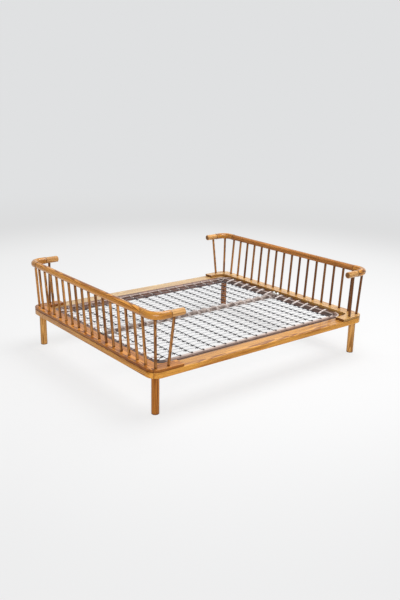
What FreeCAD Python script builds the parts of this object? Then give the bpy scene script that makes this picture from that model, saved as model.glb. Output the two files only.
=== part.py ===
import FreeCAD, Part
import math
import os

import Sketcher

# Double bed with a spindle guard round each end and a loose wire spring base.
# Frame: X runs from the foot (-X) to the head (+X), Y from the near side (-Y) to the far side,
# Z is up, and the origin is on the floor below the middle of the bed. Millimetres.

os.makedirs("parts", exist_ok=True)
doc = FreeCAD.newDocument("double_bed")
sheet = doc.addObject("Spreadsheet::Sheet", "Sizes")


class Size:
    """A length made from the sheet's cells: its value now, and the expression that keeps it."""

    def __init__(self, value, text):
        self.value, self.text = float(value), text

    def _join(self, other, sign, work):
        other = other if isinstance(other, Size) else Size(other, repr(other))
        return Size(work(self.value, other.value), "(%s %s %s)" % (self.text, sign, other.text))

    def __add__(self, other):
        return self._join(other, "+", lambda a, b: a + b)

    def __sub__(self, other):
        return self._join(other, "-", lambda a, b: a - b)

    def __mul__(self, other):
        return self._join(other, "*", lambda a, b: a * b)

    def __truediv__(self, other):
        return self._join(other, "/", lambda a, b: a / b)

    __radd__ = __add__
    __rmul__ = __mul__

    def __neg__(self):
        return Size(-self.value, "(-1 * %s)" % self.text)


class Cells:
    """Puts each named size in a row of the sheet and hands it back as a Size."""

    def __init__(self):
        self.row = 0

    def __call__(self, alias, value, note):
        self.row += 1
        sheet.set("A%d" % self.row, note)
        sheet.set("B%d" % self.row, repr(value))
        sheet.setAlias("B%d" % self.row, alias)
        return Size(value, "Sizes." + alias)


cell = Cells()

# Wooden frame, lying flat on four legs
half_length = cell("HalfLength", 1052.0, "half the length of the wooden frame and its boards")
half_width = cell("HalfWidth", 882.0, "half the width of the wooden frame and its boards")
corner_round = cell("CornerRound", 80.0, "radius of the outer corners")
leg_height = cell("LegHeight", 271.0, "floor to the underside of the frame")
leg_radius = cell("LegRadius", 27.5, "radius of a leg")
leg_inset = cell("LegInset", 65.0, "leg axis to the outer faces of the frame")
leg_chamfer = cell("LegChamfer", 2.0, "chamfer round the foot of a leg")
tenon_radius = cell("TenonRadius", 15.0, "radius of the round tenon on a leg")
tenon_height = cell("TenonHeight", 32.0, "height of the round tenon on a leg")
rail_height = cell("RailHeight", 42.0, "thickness of the frame rails")
side_rail_width = cell("SideRailWidth", 117.0, "width of a side rail")
end_rail_width = cell("EndRailWidth", 102.0, "width of an end rail")
rail_arris = cell("RailArris", 4.0, "rounding of the long edges of the rails")

# U-shaped boards on the two ends of the frame
board_height = cell("BoardHeight", 17.5, "thickness of the boards")
end_board_width = cell("EndBoardWidth", 102.0, "width of the board across an end")
arm_board_width = cell("ArmBoardWidth", 87.0, "width of the board arms along the sides")
arm_board_reach = cell("ArmBoardReach", 252.0, "length of a board arm from the end face")
board_inner_round = cell("BoardInnerRound", 50.0, "radius of the inner corners of the boards")
board_arris = cell("BoardArris", 3.0, "rounding of the upper edges of the boards")
shadow_height = cell("ShadowHeight", 3.0, "height of the shadow line under the boards")
shadow_depth = cell("ShadowDepth", 5.0, "depth of the shadow line under the boards")

# Round top rails
guard_radius = cell("GuardRadius", 25.4, "radius of the top rail")
guard_axis = cell("GuardAxis", 697.0, "floor to the axis of the top rail")
guard_end_inset = cell("GuardEndInset", 13.0, "end face of the frame to the axis of an end run")
guard_side_inset = cell("GuardSideInset", 5.0, "side face of the frame to the axis of a rail arm")
guard_bend = cell("GuardBend", 80.0, "radius of the bent corner at the rail's axis")
bend_tail = cell("BendTail", 45.0, "straight tail at each end of a bent corner")
guard_arm_reach = cell("GuardArmReach", 236.0, "axis of the end run to the end of a rail arm")
guard_end_round = cell("GuardEndRound", 8.0, "rounding of the end of a rail arm")
bend_swell = cell("BendSwell", 1.8, "how much thicker a bent corner is than the straight rail")

# Spindles between the boards and the top rails
spindle_radius = cell("SpindleRadius", 10.0, "radius of a spindle")
spindle_depth = cell("SpindleDepth", 12.0, "depth of a spindle in its board")
spindle_socket = cell("SpindleSocket", 16.0, "depth of a spindle in the top rail")
spindle_inset = cell("SpindleInset", 39.5, "end face to a row of spindles, at the board")
row_margin = cell("RowMargin", 136.5, "side face to the last spindle of a row, at the board")
top_margin = cell("TopMargin", 11.75, "end of the straight run to the axis of its last spindle")
corner_spindle_end = cell("CornerSpindleX", 51.0, "end face to a corner spindle, at the board")
corner_spindle_side = cell("CornerSpindleY", 42.0, "side face to a corner spindle")
arm_spindle_end = cell("ArmSpindleX", 147.0, "end face to an arm spindle, at the board")
arm_spindle_side = cell("ArmSpindleY", 34.0, "side face to an arm spindle")
arm_spindle_lean = cell("ArmSpindleLean", 26.0, "how far an arm spindle leans along the bed")
SPINDLES = 16

# Spring base: an angle-steel frame with wire nets
base_gap = cell("BaseGap", 0.3, "play between the spring base and what it rests on")
base_sink = cell("BaseSink", 16.0, "how far the spring base hangs below the wooden frame")
base_end_play = cell("BaseEndPlay", 6.0, "end board to the spring base")
base_side_play = cell("BaseSidePlay", 6.0, "side rail to the spring base")
base_round = cell("BaseRound", 100.0, "outer radius of the spring base's corners")
base_height = cell("BaseHeight", 60.0, "height of the upright web of the angle")
flange_width = cell("FlangeWidth", 50.0, "width of the flange of the angle")
steel = cell("SteelThickness", 4.0, "thickness of the angle")
centre_bar_width = cell("CentreBarWidth", 28.0, "width of the middle bar")
centre_bar_height = cell("CentreBarHeight", 6.0, "thickness of the middle bar's flange")
centre_web_depth = cell("CentreWebDepth", 24.0, "depth of the middle bar's web below its flange")
centre_web_play = cell("CentreWebPlay", 2.0, "end flange to the end of the middle bar's web")
centre_bar_lap = cell("CentreBarLap", 24.0, "how far the middle bar lies on each end flange")
clamp_length = cell("ClampLength", 20.0, "length of a clamp along the middle bar")
clamp_wall = cell("ClampWall", 3.0, "thickness of a clamp")
clamp_foot = cell("ClampFoot", 14.0, "width of each foot of a clamp")
net_wire = cell("NetWire", 4.0, "width and thickness of the net's links")
net_first_row = cell("NetFirstRow", 70.0, "middle of the bed to the first row of a net")
net_end_margin = cell("NetEndMargin", 83.6, "last column of a net to the flange")
net_side_margin = cell("NetSideMargin", 67.0, "last row of a net to the flange")
net_link_half = cell("NetLinkHalf", 13.0, "half the width of a link of the net")
net_drop = cell("NetDrop", 1.5, "gap between a net and the underside of the flanges")
NET_COLUMNS, NET_ROWS = 17, 12
spring_wire = cell("SpringWire", 2.4, "diameter of the spring wire")
coil_radius = cell("CoilRadius", 6.5, "radius of a coil at the wire's axis")
coil_pitch = cell("CoilPitch", 9.5, "length of one turn of an end spring")
coil_lead = cell("CoilLead", 12.0, "edge of the net to the first turn of an end spring")
COIL_TURNS = 5
hook_radius = cell("HookRadius", 2.2, "radius of a side hook")
stud_radius = cell("StudRadius", 3.0, "radius of a hook stud's shank")
stud_head_radius = cell("StudHeadRadius", 6.5, "radius of a hook stud's head")
stud_head_height = cell("StudHeadHeight", 2.5, "height of a hook stud's head")
stud_inset = cell("StudInset", 9.0, "inner edge of the flange to a hook stud on a side")
end_stud_inset = cell("EndStudInset", 36.0, "inner edge of the flange to a hook stud on an end")
stud_drop = cell("StudDrop", 5.0, "how far a stud's shank reaches below the flange")

# What holds the spring base and joins the wood
plate_length = cell("PlateLength", 60.0, "length of a rest plate along the side rail")
plate_height = cell("PlateHeight", 4.0, "thickness of a rest plate")
plate_lap = cell("PlateLap", 45.0, "how far a rest plate lies under the side rail")
plate_under = cell("PlateUnder", 10.0, "how far a rest plate reaches under the spring base")
plate_play = cell("PlatePlay", 1.5, "spring base to the upright part of a rest plate")
plate_spacing = cell("PlateSpacing", 620.0, "spacing of the rest plates")
PLATES = 3
screw_radius = cell("ScrewRadius", 2.5, "radius of the wood screws")
screw_head_radius = cell("ScrewHeadRadius", 5.0, "radius of the screw heads")
screw_head_height = cell("ScrewHeadHeight", 2.5, "height of the screw heads")
screw_bite = cell("ScrewBite", 10.0, "depth of a board screw in the board")
plate_screw_bite = cell("PlateScrewBite", 22.0, "depth of a plate screw in the side rail")
dowel_radius = cell("DowelRadius", 5.0, "radius of the dowels in the frame's corners")
dowel_length = cell("DowelLength", 44.0, "length of the dowels in the frame's corners")
dowel_from_edge = cell("DowelFromEdge", 24.0, "mitre's inner end to a dowel")
guard_dowel_radius = cell("GuardDowelRadius", 7.0, "radius of the dowels in the top rail")
guard_dowel_length = cell("GuardDowelLength", 40.0, "length of the dowels in the top rail")
screw_row = cell("ScrewRow", 40.0, "board screws to the outer face")
screw_margin = cell("ScrewMargin", 162.0, "side face to the last screw under an end board")
END_SCREWS = 5

# Levels and edges that several pieces share
rail_top = leg_height + rail_height
board_base = rail_top + shadow_height
board_top = board_base + board_height
spindle_foot = board_top - spindle_depth
spindle_crown = guard_axis - guard_radius + spindle_socket
side_inner = half_width - side_rail_width
end_inner = half_length - end_rail_width
board_end_inner = half_length - end_board_width
board_arm_inner = half_width - arm_board_width
guard_half_length = half_length - guard_end_inset
guard_half_width = half_width - guard_side_inset
base_half_length = board_end_inner - base_end_play
base_half_width = side_inner - base_side_play
base_rest = leg_height - base_sink
base_bottom = base_rest + base_gap
base_top = base_bottom + base_height
flange_under = base_top - steel
flange_inner_x = base_half_length - flange_width
flange_inner_y = base_half_width - flange_width
net_top = flange_under - net_drop
net_bottom = net_top - net_wire
net_level = net_top - net_wire / 2
net_pitch_x = (flange_inner_x - net_end_margin) * 2 / (NET_COLUMNS - 1)
net_pitch_y = (flange_inner_y - net_side_margin - net_first_row) / (NET_ROWS - 1)
net_half_length = net_pitch_x * (NET_COLUMNS - 1) / 2 + net_link_half
net_outer_y = net_first_row + net_pitch_y * (NET_ROWS - 1) + net_link_half
net_inner_y = net_first_row - net_link_half
bend_x = guard_half_length - guard_bend
bend_y = guard_half_width - guard_bend
run_end = bend_y - bend_tail
arm_start = bend_x - bend_tail
spindle_row = half_length - spindle_inset
spindle_pitch = (half_width - row_margin) * 2 / (SPINDLES - 1)
top_pitch = (run_end - top_margin) * 2 / (SPINDLES - 1)
corner_spindle = (half_length - corner_spindle_end, half_width - corner_spindle_side)
arm_spindle = (half_length - arm_spindle_end, half_width - arm_spindle_side)
arm_top_x = arm_spindle[0] - arm_spindle_lean
screw_spacing = (half_width - screw_margin) * 2 / (END_SCREWS - 1)
leg_x = half_length - leg_inset
leg_y = half_width - leg_inset
zero = leg_height * 0
NEARLY = cell("Tolerance", 0.01, "two places nearer than this are the same").value
DIAGONAL = math.sqrt(0.5)
corner_top = (bend_x + guard_bend * DIAGONAL, bend_y + guard_bend * DIAGONAL)
SIDES = {"near": -1, "far": 1}
ENDS = {"foot": -1, "head": 1}
parts = {}


def keep(label, item):
    """Gives a finished sub-part its own label, which is its file's name."""
    item.Label = label
    parts[label] = item
    return item


def bind(item, **sizes):
    """Sets properties of an object to expressions on the sheet."""
    for name, size in sizes.items():
        item.setExpression(name.replace("_", "."), size.text)


def place(item, x, y, z, rotation=None):
    """Puts an object at a point that follows the sheet, turned by a fixed rotation."""
    spot = FreeCAD.Vector(x.value, y.value, z.value)
    item.Placement = FreeCAD.Placement(spot, rotation or FreeCAD.Rotation())
    for axis, size in zip("xyz", (x, y, z)):
        item.setExpression("Placement.Base." + axis, size.text)


def origin_plane(body, role):
    return [f for f in body.Origin.OriginFeatures if f.Role == role][0]


def sketch_outline(body, name, points, plane="XY_Plane", lift=None):
    """Draws a closed outline in a body. Each point is (x, y), or (x, y, radius, centre) where an
    arc of that radius about that centre runs from this point to the next."""
    sketch = body.newObject("Sketcher::SketchObject", name)
    sketch.AttachmentSupport = [(origin_plane(body, plane), "")]
    sketch.MapMode = "FlatFace"
    if lift is not None:
        sketch.setExpression("AttachmentOffset.Base.z", lift.text)
    count = len(points)
    flat = [FreeCAD.Vector(p[0].value, p[1].value, 0) for p in points]
    ends = []
    for i, point in enumerate(points):
        start, end = flat[i], flat[(i + 1) % count]
        if len(point) == 2:
            edge = sketch.addGeometry(Part.LineSegment(start, end), False)
            ends.append((edge, 1, 2))
            continue
        centre = FreeCAD.Vector(point[3][0].value, point[3][1].value, 0)
        first = math.atan2(start.y - centre.y, start.x - centre.x)
        last = math.atan2(end.y - centre.y, end.x - centre.x)
        forward = (last - first) % (2 * math.pi) < math.pi
        angles = (first, last) if forward else (last, first)
        circle = Part.Circle(centre, FreeCAD.Vector(0, 0, 1), point[2].value)
        edge = sketch.addGeometry(Part.ArcOfCircle(circle, *angles), False)
        ends.append((edge, 1, 2) if forward else (edge, 2, 1))
    for i, point in enumerate(points):
        edge, start, end = ends[i]
        following = ends[(i + 1) % count]
        sketch.addConstraint(Sketcher.Constraint("Coincident", edge, end, following[0], following[1]))
        for kind, size in (("DistanceX", point[0]), ("DistanceY", point[1])):
            number = sketch.addConstraint(
                Sketcher.Constraint(kind, -1, 1, edge, start, size.value))
            sketch.setExpression("Constraints[%d]" % number, size.text)
        if len(point) == 4:
            number = sketch.addConstraint(Sketcher.Constraint("Radius", edge, point[2].value))
            sketch.setExpression("Constraints[%d]" % number, point[2].text)
    return sketch


def pad(body, sketch, height, name="Pad"):
    feature = body.newObject("PartDesign::Pad", name)
    feature.Profile = sketch
    feature.setExpression("Length", height.text)
    body.Tip = feature
    return feature


def revolve(body, sketch, axis="V_Axis", angle=360.0):
    feature = body.newObject("PartDesign::Revolution", "Revolution")
    feature.Profile = sketch
    feature.ReferenceAxis = (sketch, [axis])
    feature.Angle = angle
    body.Tip = feature
    return feature


def round_edges(body, radius, wanted, name="Fillet"):
    """Rounds the edges of the body's tip whose middle point is wanted."""
    doc.recompute()
    base = body.Tip
    picked = []
    for i, edge in enumerate(base.Shape.Edges, 1):
        middle = edge.valueAt((edge.FirstParameter + edge.LastParameter) / 2)
        if wanted(middle, edge):
            picked.append("Edge%d" % i)
    feature = body.newObject("PartDesign::Fillet", name)
    feature.Base = (base, picked)
    feature.setExpression("Radius", radius.text)
    body.Tip = feature


def new_body(name):
    return doc.addObject("PartDesign::Body", name)


def cylinder(name, radius, height, start, direction):
    """A round bar from a start point along a fixed direction."""
    bar = doc.addObject("Part::Cylinder", name)
    bind(bar, Radius=radius, Height=height)
    place(bar, *start, rotation=FreeCAD.Rotation(FreeCAD.Vector(0, 0, 1), direction))
    return bar


def compound(name, items):
    group = doc.addObject("Part::Compound", name)
    group.Links = items
    return group


def cut(name, base, tools):
    tool = tools[0] if len(tools) == 1 else compound(name + "_holes", tools)
    result = doc.addObject("Part::Cut", name)
    result.Base, result.Tool = base, tool
    return result


def turn(size, sign):
    return size if sign > 0 else -size


UP = FreeCAD.Vector(0, 0, 1)
ALONG = FreeCAD.Vector(1, 0, 0)
ACROSS = FreeCAD.Vector(0, 1, 0)
SEAM_TURN = FreeCAD.Rotation(UP, 30)
QUARTERS = {(1, 1): 0, (-1, 1): 90, (-1, -1): 180, (1, -1): 270}


# Legs, each with a chamfered foot and a round tenon that pins the frame's corner
def make_leg(label, x, y):
    body = new_body("Leg_" + label)
    profile = [(zero, zero), (leg_radius - leg_chamfer, zero), (leg_radius, leg_chamfer),
               (leg_radius, leg_height), (tenon_radius, leg_height),
               (tenon_radius, leg_height + tenon_height), (zero, leg_height + tenon_height)]
    revolve(body, sketch_outline(body, "LegProfile_" + label, profile, "XZ_Plane"))
    place(body, x, y, zero)
    return keep(label, body)


legs = {}
for end, ex in ENDS.items():
    for side, sy in SIDES.items():
        legs[end, side] = make_leg("leg_%s_%s" % (side, end), turn(leg_x, ex), turn(leg_y, sy))


# The outer rounding of a corner, as its centre and its middle point
def corner_points(inset, ex, sy):
    radius = corner_round - inset
    centre = (turn(half_length - corner_round, ex), turn(half_width - corner_round, sy))
    shift = radius * DIAGONAL
    middle = (centre[0] + turn(shift, ex), centre[1] + turn(shift, sy))
    return radius, centre, middle


# Mitred rails and boards share this outline: an end piece from mitre to mitre
def end_outline(ex, inner_x, inner_y, inset, inner_round=None):
    radius, near_centre, near_middle = corner_points(inset, ex, -1)
    _, far_centre, far_middle = corner_points(inset, ex, 1)
    outer = turn(half_length - inset, ex)
    inner = turn(inner_x, ex)
    points = [(near_middle[0], near_middle[1], radius, near_centre),
              (outer, near_centre[1]),
              (outer, far_centre[1], radius, far_centre),
              far_middle]
    if inner_round is None:
        return points + [(inner, inner_y), (inner, -inner_y)]
    shift = inner_round * (1 - DIAGONAL)
    centre_x, centre_y = turn(inner_x - inner_round, ex), inner_y - inner_round
    points.append((inner - turn(shift, ex), inner_y - shift, inner_round, (centre_x, centre_y)))
    points.append((inner, centre_y))
    points.append((inner, -centre_y, inner_round, (centre_x, -centre_y)))
    points.append((inner - turn(shift, ex), -inner_y + shift))
    return points


# One arm of a mitred board, from the mitre to its square end
def arm_outline(ex, sy, inset):
    radius, centre, middle = corner_points(inset, ex, sy)
    outer = turn(half_width - inset, sy)
    inner = turn(board_arm_inner, sy)
    tip = turn(half_length - arm_board_reach, ex)
    shift = board_inner_round * (1 - DIAGONAL)
    inner_centre = (turn(board_end_inner - board_inner_round, ex),
                    turn(board_arm_inner - board_inner_round, sy))
    return [(middle[0], middle[1], radius, centre),
            (centre[0], outer), (tip, outer), (tip, inner),
            (inner_centre[0], inner, board_inner_round, inner_centre),
            (turn(board_end_inner - shift, ex), turn(board_arm_inner - shift, sy))]


# A side rail runs from mitre to mitre
def side_outline(sy):
    radius, foot_centre, foot_middle = corner_points(zero, -1, sy)
    _, head_centre, head_middle = corner_points(zero, 1, sy)
    outer, inner = turn(half_width, sy), turn(side_inner, sy)
    return [(foot_middle[0], foot_middle[1], radius, foot_centre),
            (foot_centre[0], outer),
            (head_centre[0], outer, radius, head_centre),
            head_middle, (end_inner, inner), (-end_inner, inner)]


def on_outline(point, edge, level):
    """True for an edge at one level that lies on the outer faces of the frame."""
    if abs(point.z - level) > NEARLY:
        return False
    x, y = abs(point.x), abs(point.y)
    straight = x > half_length.value - NEARLY or y > half_width.value - NEARLY
    dx = x - (half_length - corner_round).value
    dy = y - (half_width - corner_round).value
    curved = dx > 0 and dy > 0 and abs(math.hypot(dx, dy) - corner_round.value) < NEARLY
    return straight or curved


def make_rail(label, points):
    body = new_body("Rail_" + label)
    pad(body, sketch_outline(body, "RailOutline_" + label, points), rail_height)
    levels = (0.0, rail_height.value)
    round_edges(body, rail_arris, lambda p, e: any(on_outline(p, e, z) for z in levels))
    place(body, zero, zero, leg_height)
    return body


def make_board(label, outline):
    """A board on a slightly smaller base, which leaves a shadow line above the rail."""
    body = new_body("Board_" + label)
    base = sketch_outline(body, "BoardBase_" + label, outline(shadow_depth))
    pad(body, base, shadow_height, "BasePad")
    upper = sketch_outline(body, "BoardTop_" + label, outline(zero), lift=shadow_height)
    pad(body, upper, board_height)
    top = (shadow_height + board_height).value
    round_edges(body, board_arris, lambda p, e: on_outline(p, e, top))
    place(body, zero, zero, rail_top)
    return body


# Spindles: round bars that lean a little outwards and fan out
def spindle(name, base_x, base_y, top_x, top_y):
    """A spindle from its hole in the board towards a point on the top rail's axis."""
    start = FreeCAD.Vector(base_x.value, base_y.value, spindle_foot.value)
    aim = FreeCAD.Vector(top_x.value, top_y.value, guard_axis.value) - start
    bar = doc.addObject("Part::Cylinder", name)
    bind(bar, Radius=spindle_radius)
    bar.Height = aim.Length * (spindle_crown - spindle_foot).value / aim.z
    place(bar, base_x, base_y, spindle_foot, FreeCAD.Rotation(UP, aim) * SEAM_TURN)
    return bar


rows, corner_pairs = {}, {}
for end, ex in ENDS.items():
    rows[end] = []
    for i in range(SPINDLES):
        share = i - (SPINDLES - 1) / 2
        rows[end].append(spindle("Spindle_%s_%d" % (end, i),
                                 turn(spindle_row, ex), spindle_pitch * share,
                                 turn(guard_half_length, ex), top_pitch * share))
    for side, sy in SIDES.items():
        name = "%s_%s" % (side, end)
        corner_pairs[end, side] = [
            spindle("CornerSpindle_" + name,
                    turn(corner_spindle[0], ex), turn(corner_spindle[1], sy),
                    turn(corner_top[0], ex), turn(corner_top[1], sy)),
            spindle("ArmSpindle_" + name,
                    turn(arm_spindle[0], ex), turn(arm_spindle[1], sy),
                    turn(arm_top_x, ex), turn(guard_half_width, sy))]


# Screws: a shank and a flush head, one solid each
def screw(name, x, y, z, length, head_below):
    """An upright screw whose head's lower face is at z, or just under it where it lies proud."""
    foot = z - screw_head_height if head_below else z
    shank = cylinder(name + "_shank", screw_radius, length, (x, y, foot), UP)
    head = cylinder(name + "_head", screw_head_radius, screw_head_height, (x, y, foot), UP)
    whole = doc.addObject("Part::Fuse", name)
    whole.Base, whole.Tool = shank, head
    return whole


board_screws = []
board_screw_length = rail_height + shadow_height + screw_bite
for end, ex in ENDS.items():
    for i in range(END_SCREWS):
        y = screw_spacing * (i - (END_SCREWS - 1) / 2)
        board_screws.append(screw("BoardScrew_%s_%d" % (end, i),
                                  turn(half_length - screw_row * 2, ex), y, leg_height,
                                  board_screw_length, False))
    for side, sy in SIDES.items():
        x = turn(half_length - arm_board_reach + screw_row, ex)
        board_screws.append(screw("ArmScrew_%s_%s" % (side, end), x,
                                  turn(half_width - screw_row, sy), leg_height,
                                  board_screw_length, False))

# Rest plates under the side rails, each stepped down to the spring base, with two screws
plates, plate_screws = {}, {}
plate_outer = side_inner + plate_lap
plate_post = base_half_width + plate_play
plate_lip = base_half_width - plate_under
plate_steps = [(plate_outer, leg_height), (plate_outer, leg_height - plate_height),
               (plate_post + plate_height, leg_height - plate_height),
               (plate_post + plate_height, base_rest - plate_height),
               (plate_lip, base_rest - plate_height), (plate_lip, base_rest),
               (plate_post, base_rest), (plate_post, leg_height)]
for side, sy in SIDES.items():
    plates[side], plate_screws[side] = [], []
    profile = [(turn(y, sy), z) for y, z in plate_steps]
    for i in range(PLATES):
        x = plate_spacing * (i - (PLATES - 1) / 2)
        name = "%s_%d" % (side, i)
        plate = new_body("Plate_" + name)
        pad(plate, sketch_outline(plate, "PlateProfile_" + name, profile, "YZ_Plane"), plate_length)
        place(plate, x - plate_length / 2, zero, zero)
        plates[side].append(plate)
        for j in (-1, 1):
            plate_screws[side].append(
                screw("PlateScrew_%s_%d_%d" % (side, i, j + 1), x + plate_length * j / 4,
                      turn(side_inner + plate_lap / 2, sy), leg_height - plate_height,
                      screw_head_height + plate_height + plate_screw_bite, True))
all_plate_screws = plate_screws["near"] + plate_screws["far"]

# Dowels across the mitres of the frame
corner_dowels = {}
for end, ex in ENDS.items():
    for side, sy in SIDES.items():
        across = FreeCAD.Vector(ex, -sy, 0).normalize()
        x = end_inner + dowel_from_edge - dowel_length * DIAGONAL / 2
        y = side_inner + dowel_from_edge + dowel_length * DIAGONAL / 2
        corner_dowels[end, side] = cylinder(
            "CornerDowel_%s_%s" % (side, end), dowel_radius, dowel_length,
            (turn(x, ex), turn(y, sy), leg_height + rail_height / 2), across)

# Frame rails with the holes for what is let into them
for end, ex in ENDS.items():
    blank = make_rail("end_" + end, end_outline(ex, end_inner, side_inner, zero))
    tools = [legs[end, side] for side in SIDES]
    tools += [corner_dowels[end, side] for side in SIDES]
    keep("end_rail_" + end, cut("EndRail_" + end, blank, tools + board_screws))
for side, sy in SIDES.items():
    blank = make_rail("side_" + side, side_outline(sy))
    tools = [legs[end, side] for end in ENDS] + [corner_dowels[end, side] for end in ENDS]
    keep("side_rail_" + side,
         cut("SideRail_" + side, blank, tools + board_screws + plate_screws[side]))

# Boards with the holes for the spindles and the screws
for end, ex in ENDS.items():
    pairs = corner_pairs[end, "near"] + corner_pairs[end, "far"]
    blank = make_board("end_" + end, lambda inset, ex=ex: end_outline(
        ex, board_end_inner, board_arm_inner, inset, board_inner_round))
    keep("end_board_" + end, cut("EndBoard_" + end, blank, rows[end] + pairs + board_screws))
    for side, sy in SIDES.items():
        name = "%s_%s" % (side, end)
        blank = make_board("arm_" + name, lambda inset, ex=ex, sy=sy: arm_outline(ex, sy, inset))
        keep("arm_board_" + name,
             cut("ArmBoard_" + name, blank, corner_pairs[end, side] + board_screws))

# Dowels in the four joints of each top rail
guard_dowels = {}
for end, ex in ENDS.items():
    for side, sy in SIDES.items():
        name = "%s_%s" % (side, end)
        half = guard_dowel_length / 2
        run = cylinder("RunDowel_" + name, guard_dowel_radius, guard_dowel_length,
                       (turn(guard_half_length, ex), turn(run_end, sy) - half, guard_axis), ACROSS)
        arm = cylinder("ArmDowel_" + name, guard_dowel_radius, guard_dowel_length,
                       (turn(arm_start, ex) - half, turn(guard_half_width, sy), guard_axis), ALONG)
        guard_dowels[end, side] = [run, arm]

# Top rails: a straight run, two bent corners and two arms at each end of the bed
spindle_groups = {}
for end, ex in ENDS.items():
    run = cylinder("RunBar_" + end, guard_radius, run_end * 2,
                   (turn(guard_half_length, ex), -run_end, guard_axis), ACROSS)
    dowels = [guard_dowels[end, side][0] for side in SIDES]
    keep("top_rail_" + end, cut("TopRail_" + end, run, rows[end] + dowels))
    for side, sy in SIDES.items():
        name = "%s_%s" % (side, end)
        ring = doc.addObject("Part::Torus", "BendRing_" + name)
        bind(ring, Radius1=guard_bend, Radius2=guard_radius + bend_swell)
        ring.Angle3 = 90
        place(ring, turn(bend_x, ex), turn(bend_y, sy), guard_axis,
              FreeCAD.Rotation(UP, QUARTERS[ex, sy]))
        tails = [cylinder("RunTail_" + name, guard_radius + bend_swell, bend_tail,
                          (turn(guard_half_length, ex), turn(bend_y, sy), guard_axis),
                          ACROSS * -sy),
                 cylinder("ArmTail_" + name, guard_radius + bend_swell, bend_tail,
                          (turn(bend_x, ex), turn(guard_half_width, sy), guard_axis),
                          ALONG * -ex)]
        bend = doc.addObject("Part::MultiFuse", "Bend_" + name)
        bend.Shapes = [ring] + tails
        keep("rail_bend_" + name, cut("RailBend_" + name, bend,
                                      corner_pairs[end, side] + guard_dowels[end, side]))
        arm = new_body("ArmBar_" + name)
        arm_length = guard_arm_reach - guard_bend - bend_tail
        profile = [(zero, zero), (guard_radius, zero), (guard_radius, arm_length),
                   (zero, arm_length)]
        revolve(arm, sketch_outline(arm, "ArmProfile_" + name, profile, "XZ_Plane"))
        round_edges(arm, guard_end_round,
                    lambda p, e: p.z > arm_length.value - NEARLY and len(e.Vertexes) == 1)
        place(arm, turn(arm_start, ex), turn(guard_half_width, sy), guard_axis,
              FreeCAD.Rotation(UP, ALONG * -ex))
        keep("rail_arm_" + name, cut("RailArm_" + name, arm,
                                     corner_pairs[end, side] + guard_dowels[end, side]))

# Groups of like pieces, each piece a solid of its own
for end in ENDS:
    keep("spindles_" + end, compound("Spindles_" + end, rows[end]))
    for side in SIDES:
        name = "%s_%s" % (side, end)
        keep("corner_spindles_" + name,
             compound("CornerSpindles_" + name, corner_pairs[end, side]))
for side in SIDES:
    keep("rest_plates_" + side,
         cut("RestPlates_" + side, compound("PlateBlanks_" + side, plates[side]),
             plate_screws[side]))
keep("rest_plate_screws", compound("PlateScrews", all_plate_screws))
keep("board_screws", compound("BoardScrews", board_screws))
keep("corner_dowels", compound("CornerDowels", list(corner_dowels.values())))
keep("top_rail_dowels", compound("TopRailDowels", sum(guard_dowels.values(), [])))

# Hook studs: a shank through the flange and a round head on it
studs = {"near": [], "far": [], "foot": [], "head": []}
column_xs = [net_pitch_x * (i - (NET_COLUMNS - 1) / 2) for i in range(NET_COLUMNS)]
spring_rows = {"foot": [net_first_row + net_pitch_y * i for i in range(1, NET_ROWS, 2)],
               "head": [net_first_row + net_pitch_y * i for i in range(0, NET_ROWS, 2)]}


def stud(name, x, y):
    shank = cylinder(name + "_shank", stud_radius, stud_drop + steel,
                     (x, y, flange_under - stud_drop), UP)
    head = cylinder(name + "_head", stud_head_radius, stud_head_height, (x, y, base_top), UP)
    whole = doc.addObject("Part::Fuse", name)
    whole.Base, whole.Tool = shank, head
    return whole


for side, sy in SIDES.items():
    for i, x in enumerate(column_xs):
        studs[side].append(stud("Stud_%s_%d" % (side, i), x, turn(flange_inner_y + stud_inset, sy)))
for end, ex in ENDS.items():
    for side, sy in SIDES.items():
        for i, y in enumerate(spring_rows[end]):
            studs[end].append(stud("Stud_%s_%s_%d" % (end, side, i),
                                   turn(flange_inner_x + end_stud_inset, ex), turn(y, sy)))


# Angle-steel frame of the spring base: four bars and four bent corners
def angle_profile(outer):
    return [(outer, zero), (outer, base_height), (outer - flange_width, base_height),
            (outer - flange_width, base_height - steel), (outer - steel, base_height - steel),
            (outer - steel, zero)]


for side, sy in SIDES.items():
    bar = new_body("Bar_" + side)
    straight = (base_half_length - base_round) * 2
    pad(bar, sketch_outline(bar, "BarProfile_" + side, angle_profile(base_round), "XZ_Plane"),
        straight)
    turned = FreeCAD.Rotation(UP, 90 * sy)
    place(bar, turn(-straight / 2, -sy) * -1, turn(base_half_width - base_round, sy),
          base_bottom, turned)
    keep("base_bar_" + side, cut("BaseBar_" + side, bar, studs[side]))
for end, ex in ENDS.items():
    bar = new_body("Bar_" + end)
    straight = (base_half_width - base_round) * 2
    pad(bar, sketch_outline(bar, "BarProfile_" + end, angle_profile(base_round), "XZ_Plane"),
        straight)
    turned = FreeCAD.Rotation(UP, 0 if ex > 0 else 180)
    place(bar, turn(base_half_length - base_round, ex), turn(straight / 2, ex), base_bottom, turned)
    keep("base_bar_" + end, cut("BaseBar_" + end, bar, studs[end]))
for end, ex in ENDS.items():
    for side, sy in SIDES.items():
        name = "%s_%s" % (side, end)
        corner = new_body("BaseCorner_" + name)
        profile = sketch_outline(corner, "CornerProfile_" + name, angle_profile(base_round),
                                 "XZ_Plane")
        revolve(corner, profile, angle=90.0)
        place(corner, turn(base_half_length - base_round, ex), turn(base_half_width - base_round, sy),
              base_bottom, FreeCAD.Rotation(UP, QUARTERS[ex, sy]))
        keep("base_corner_" + name, corner)

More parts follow.
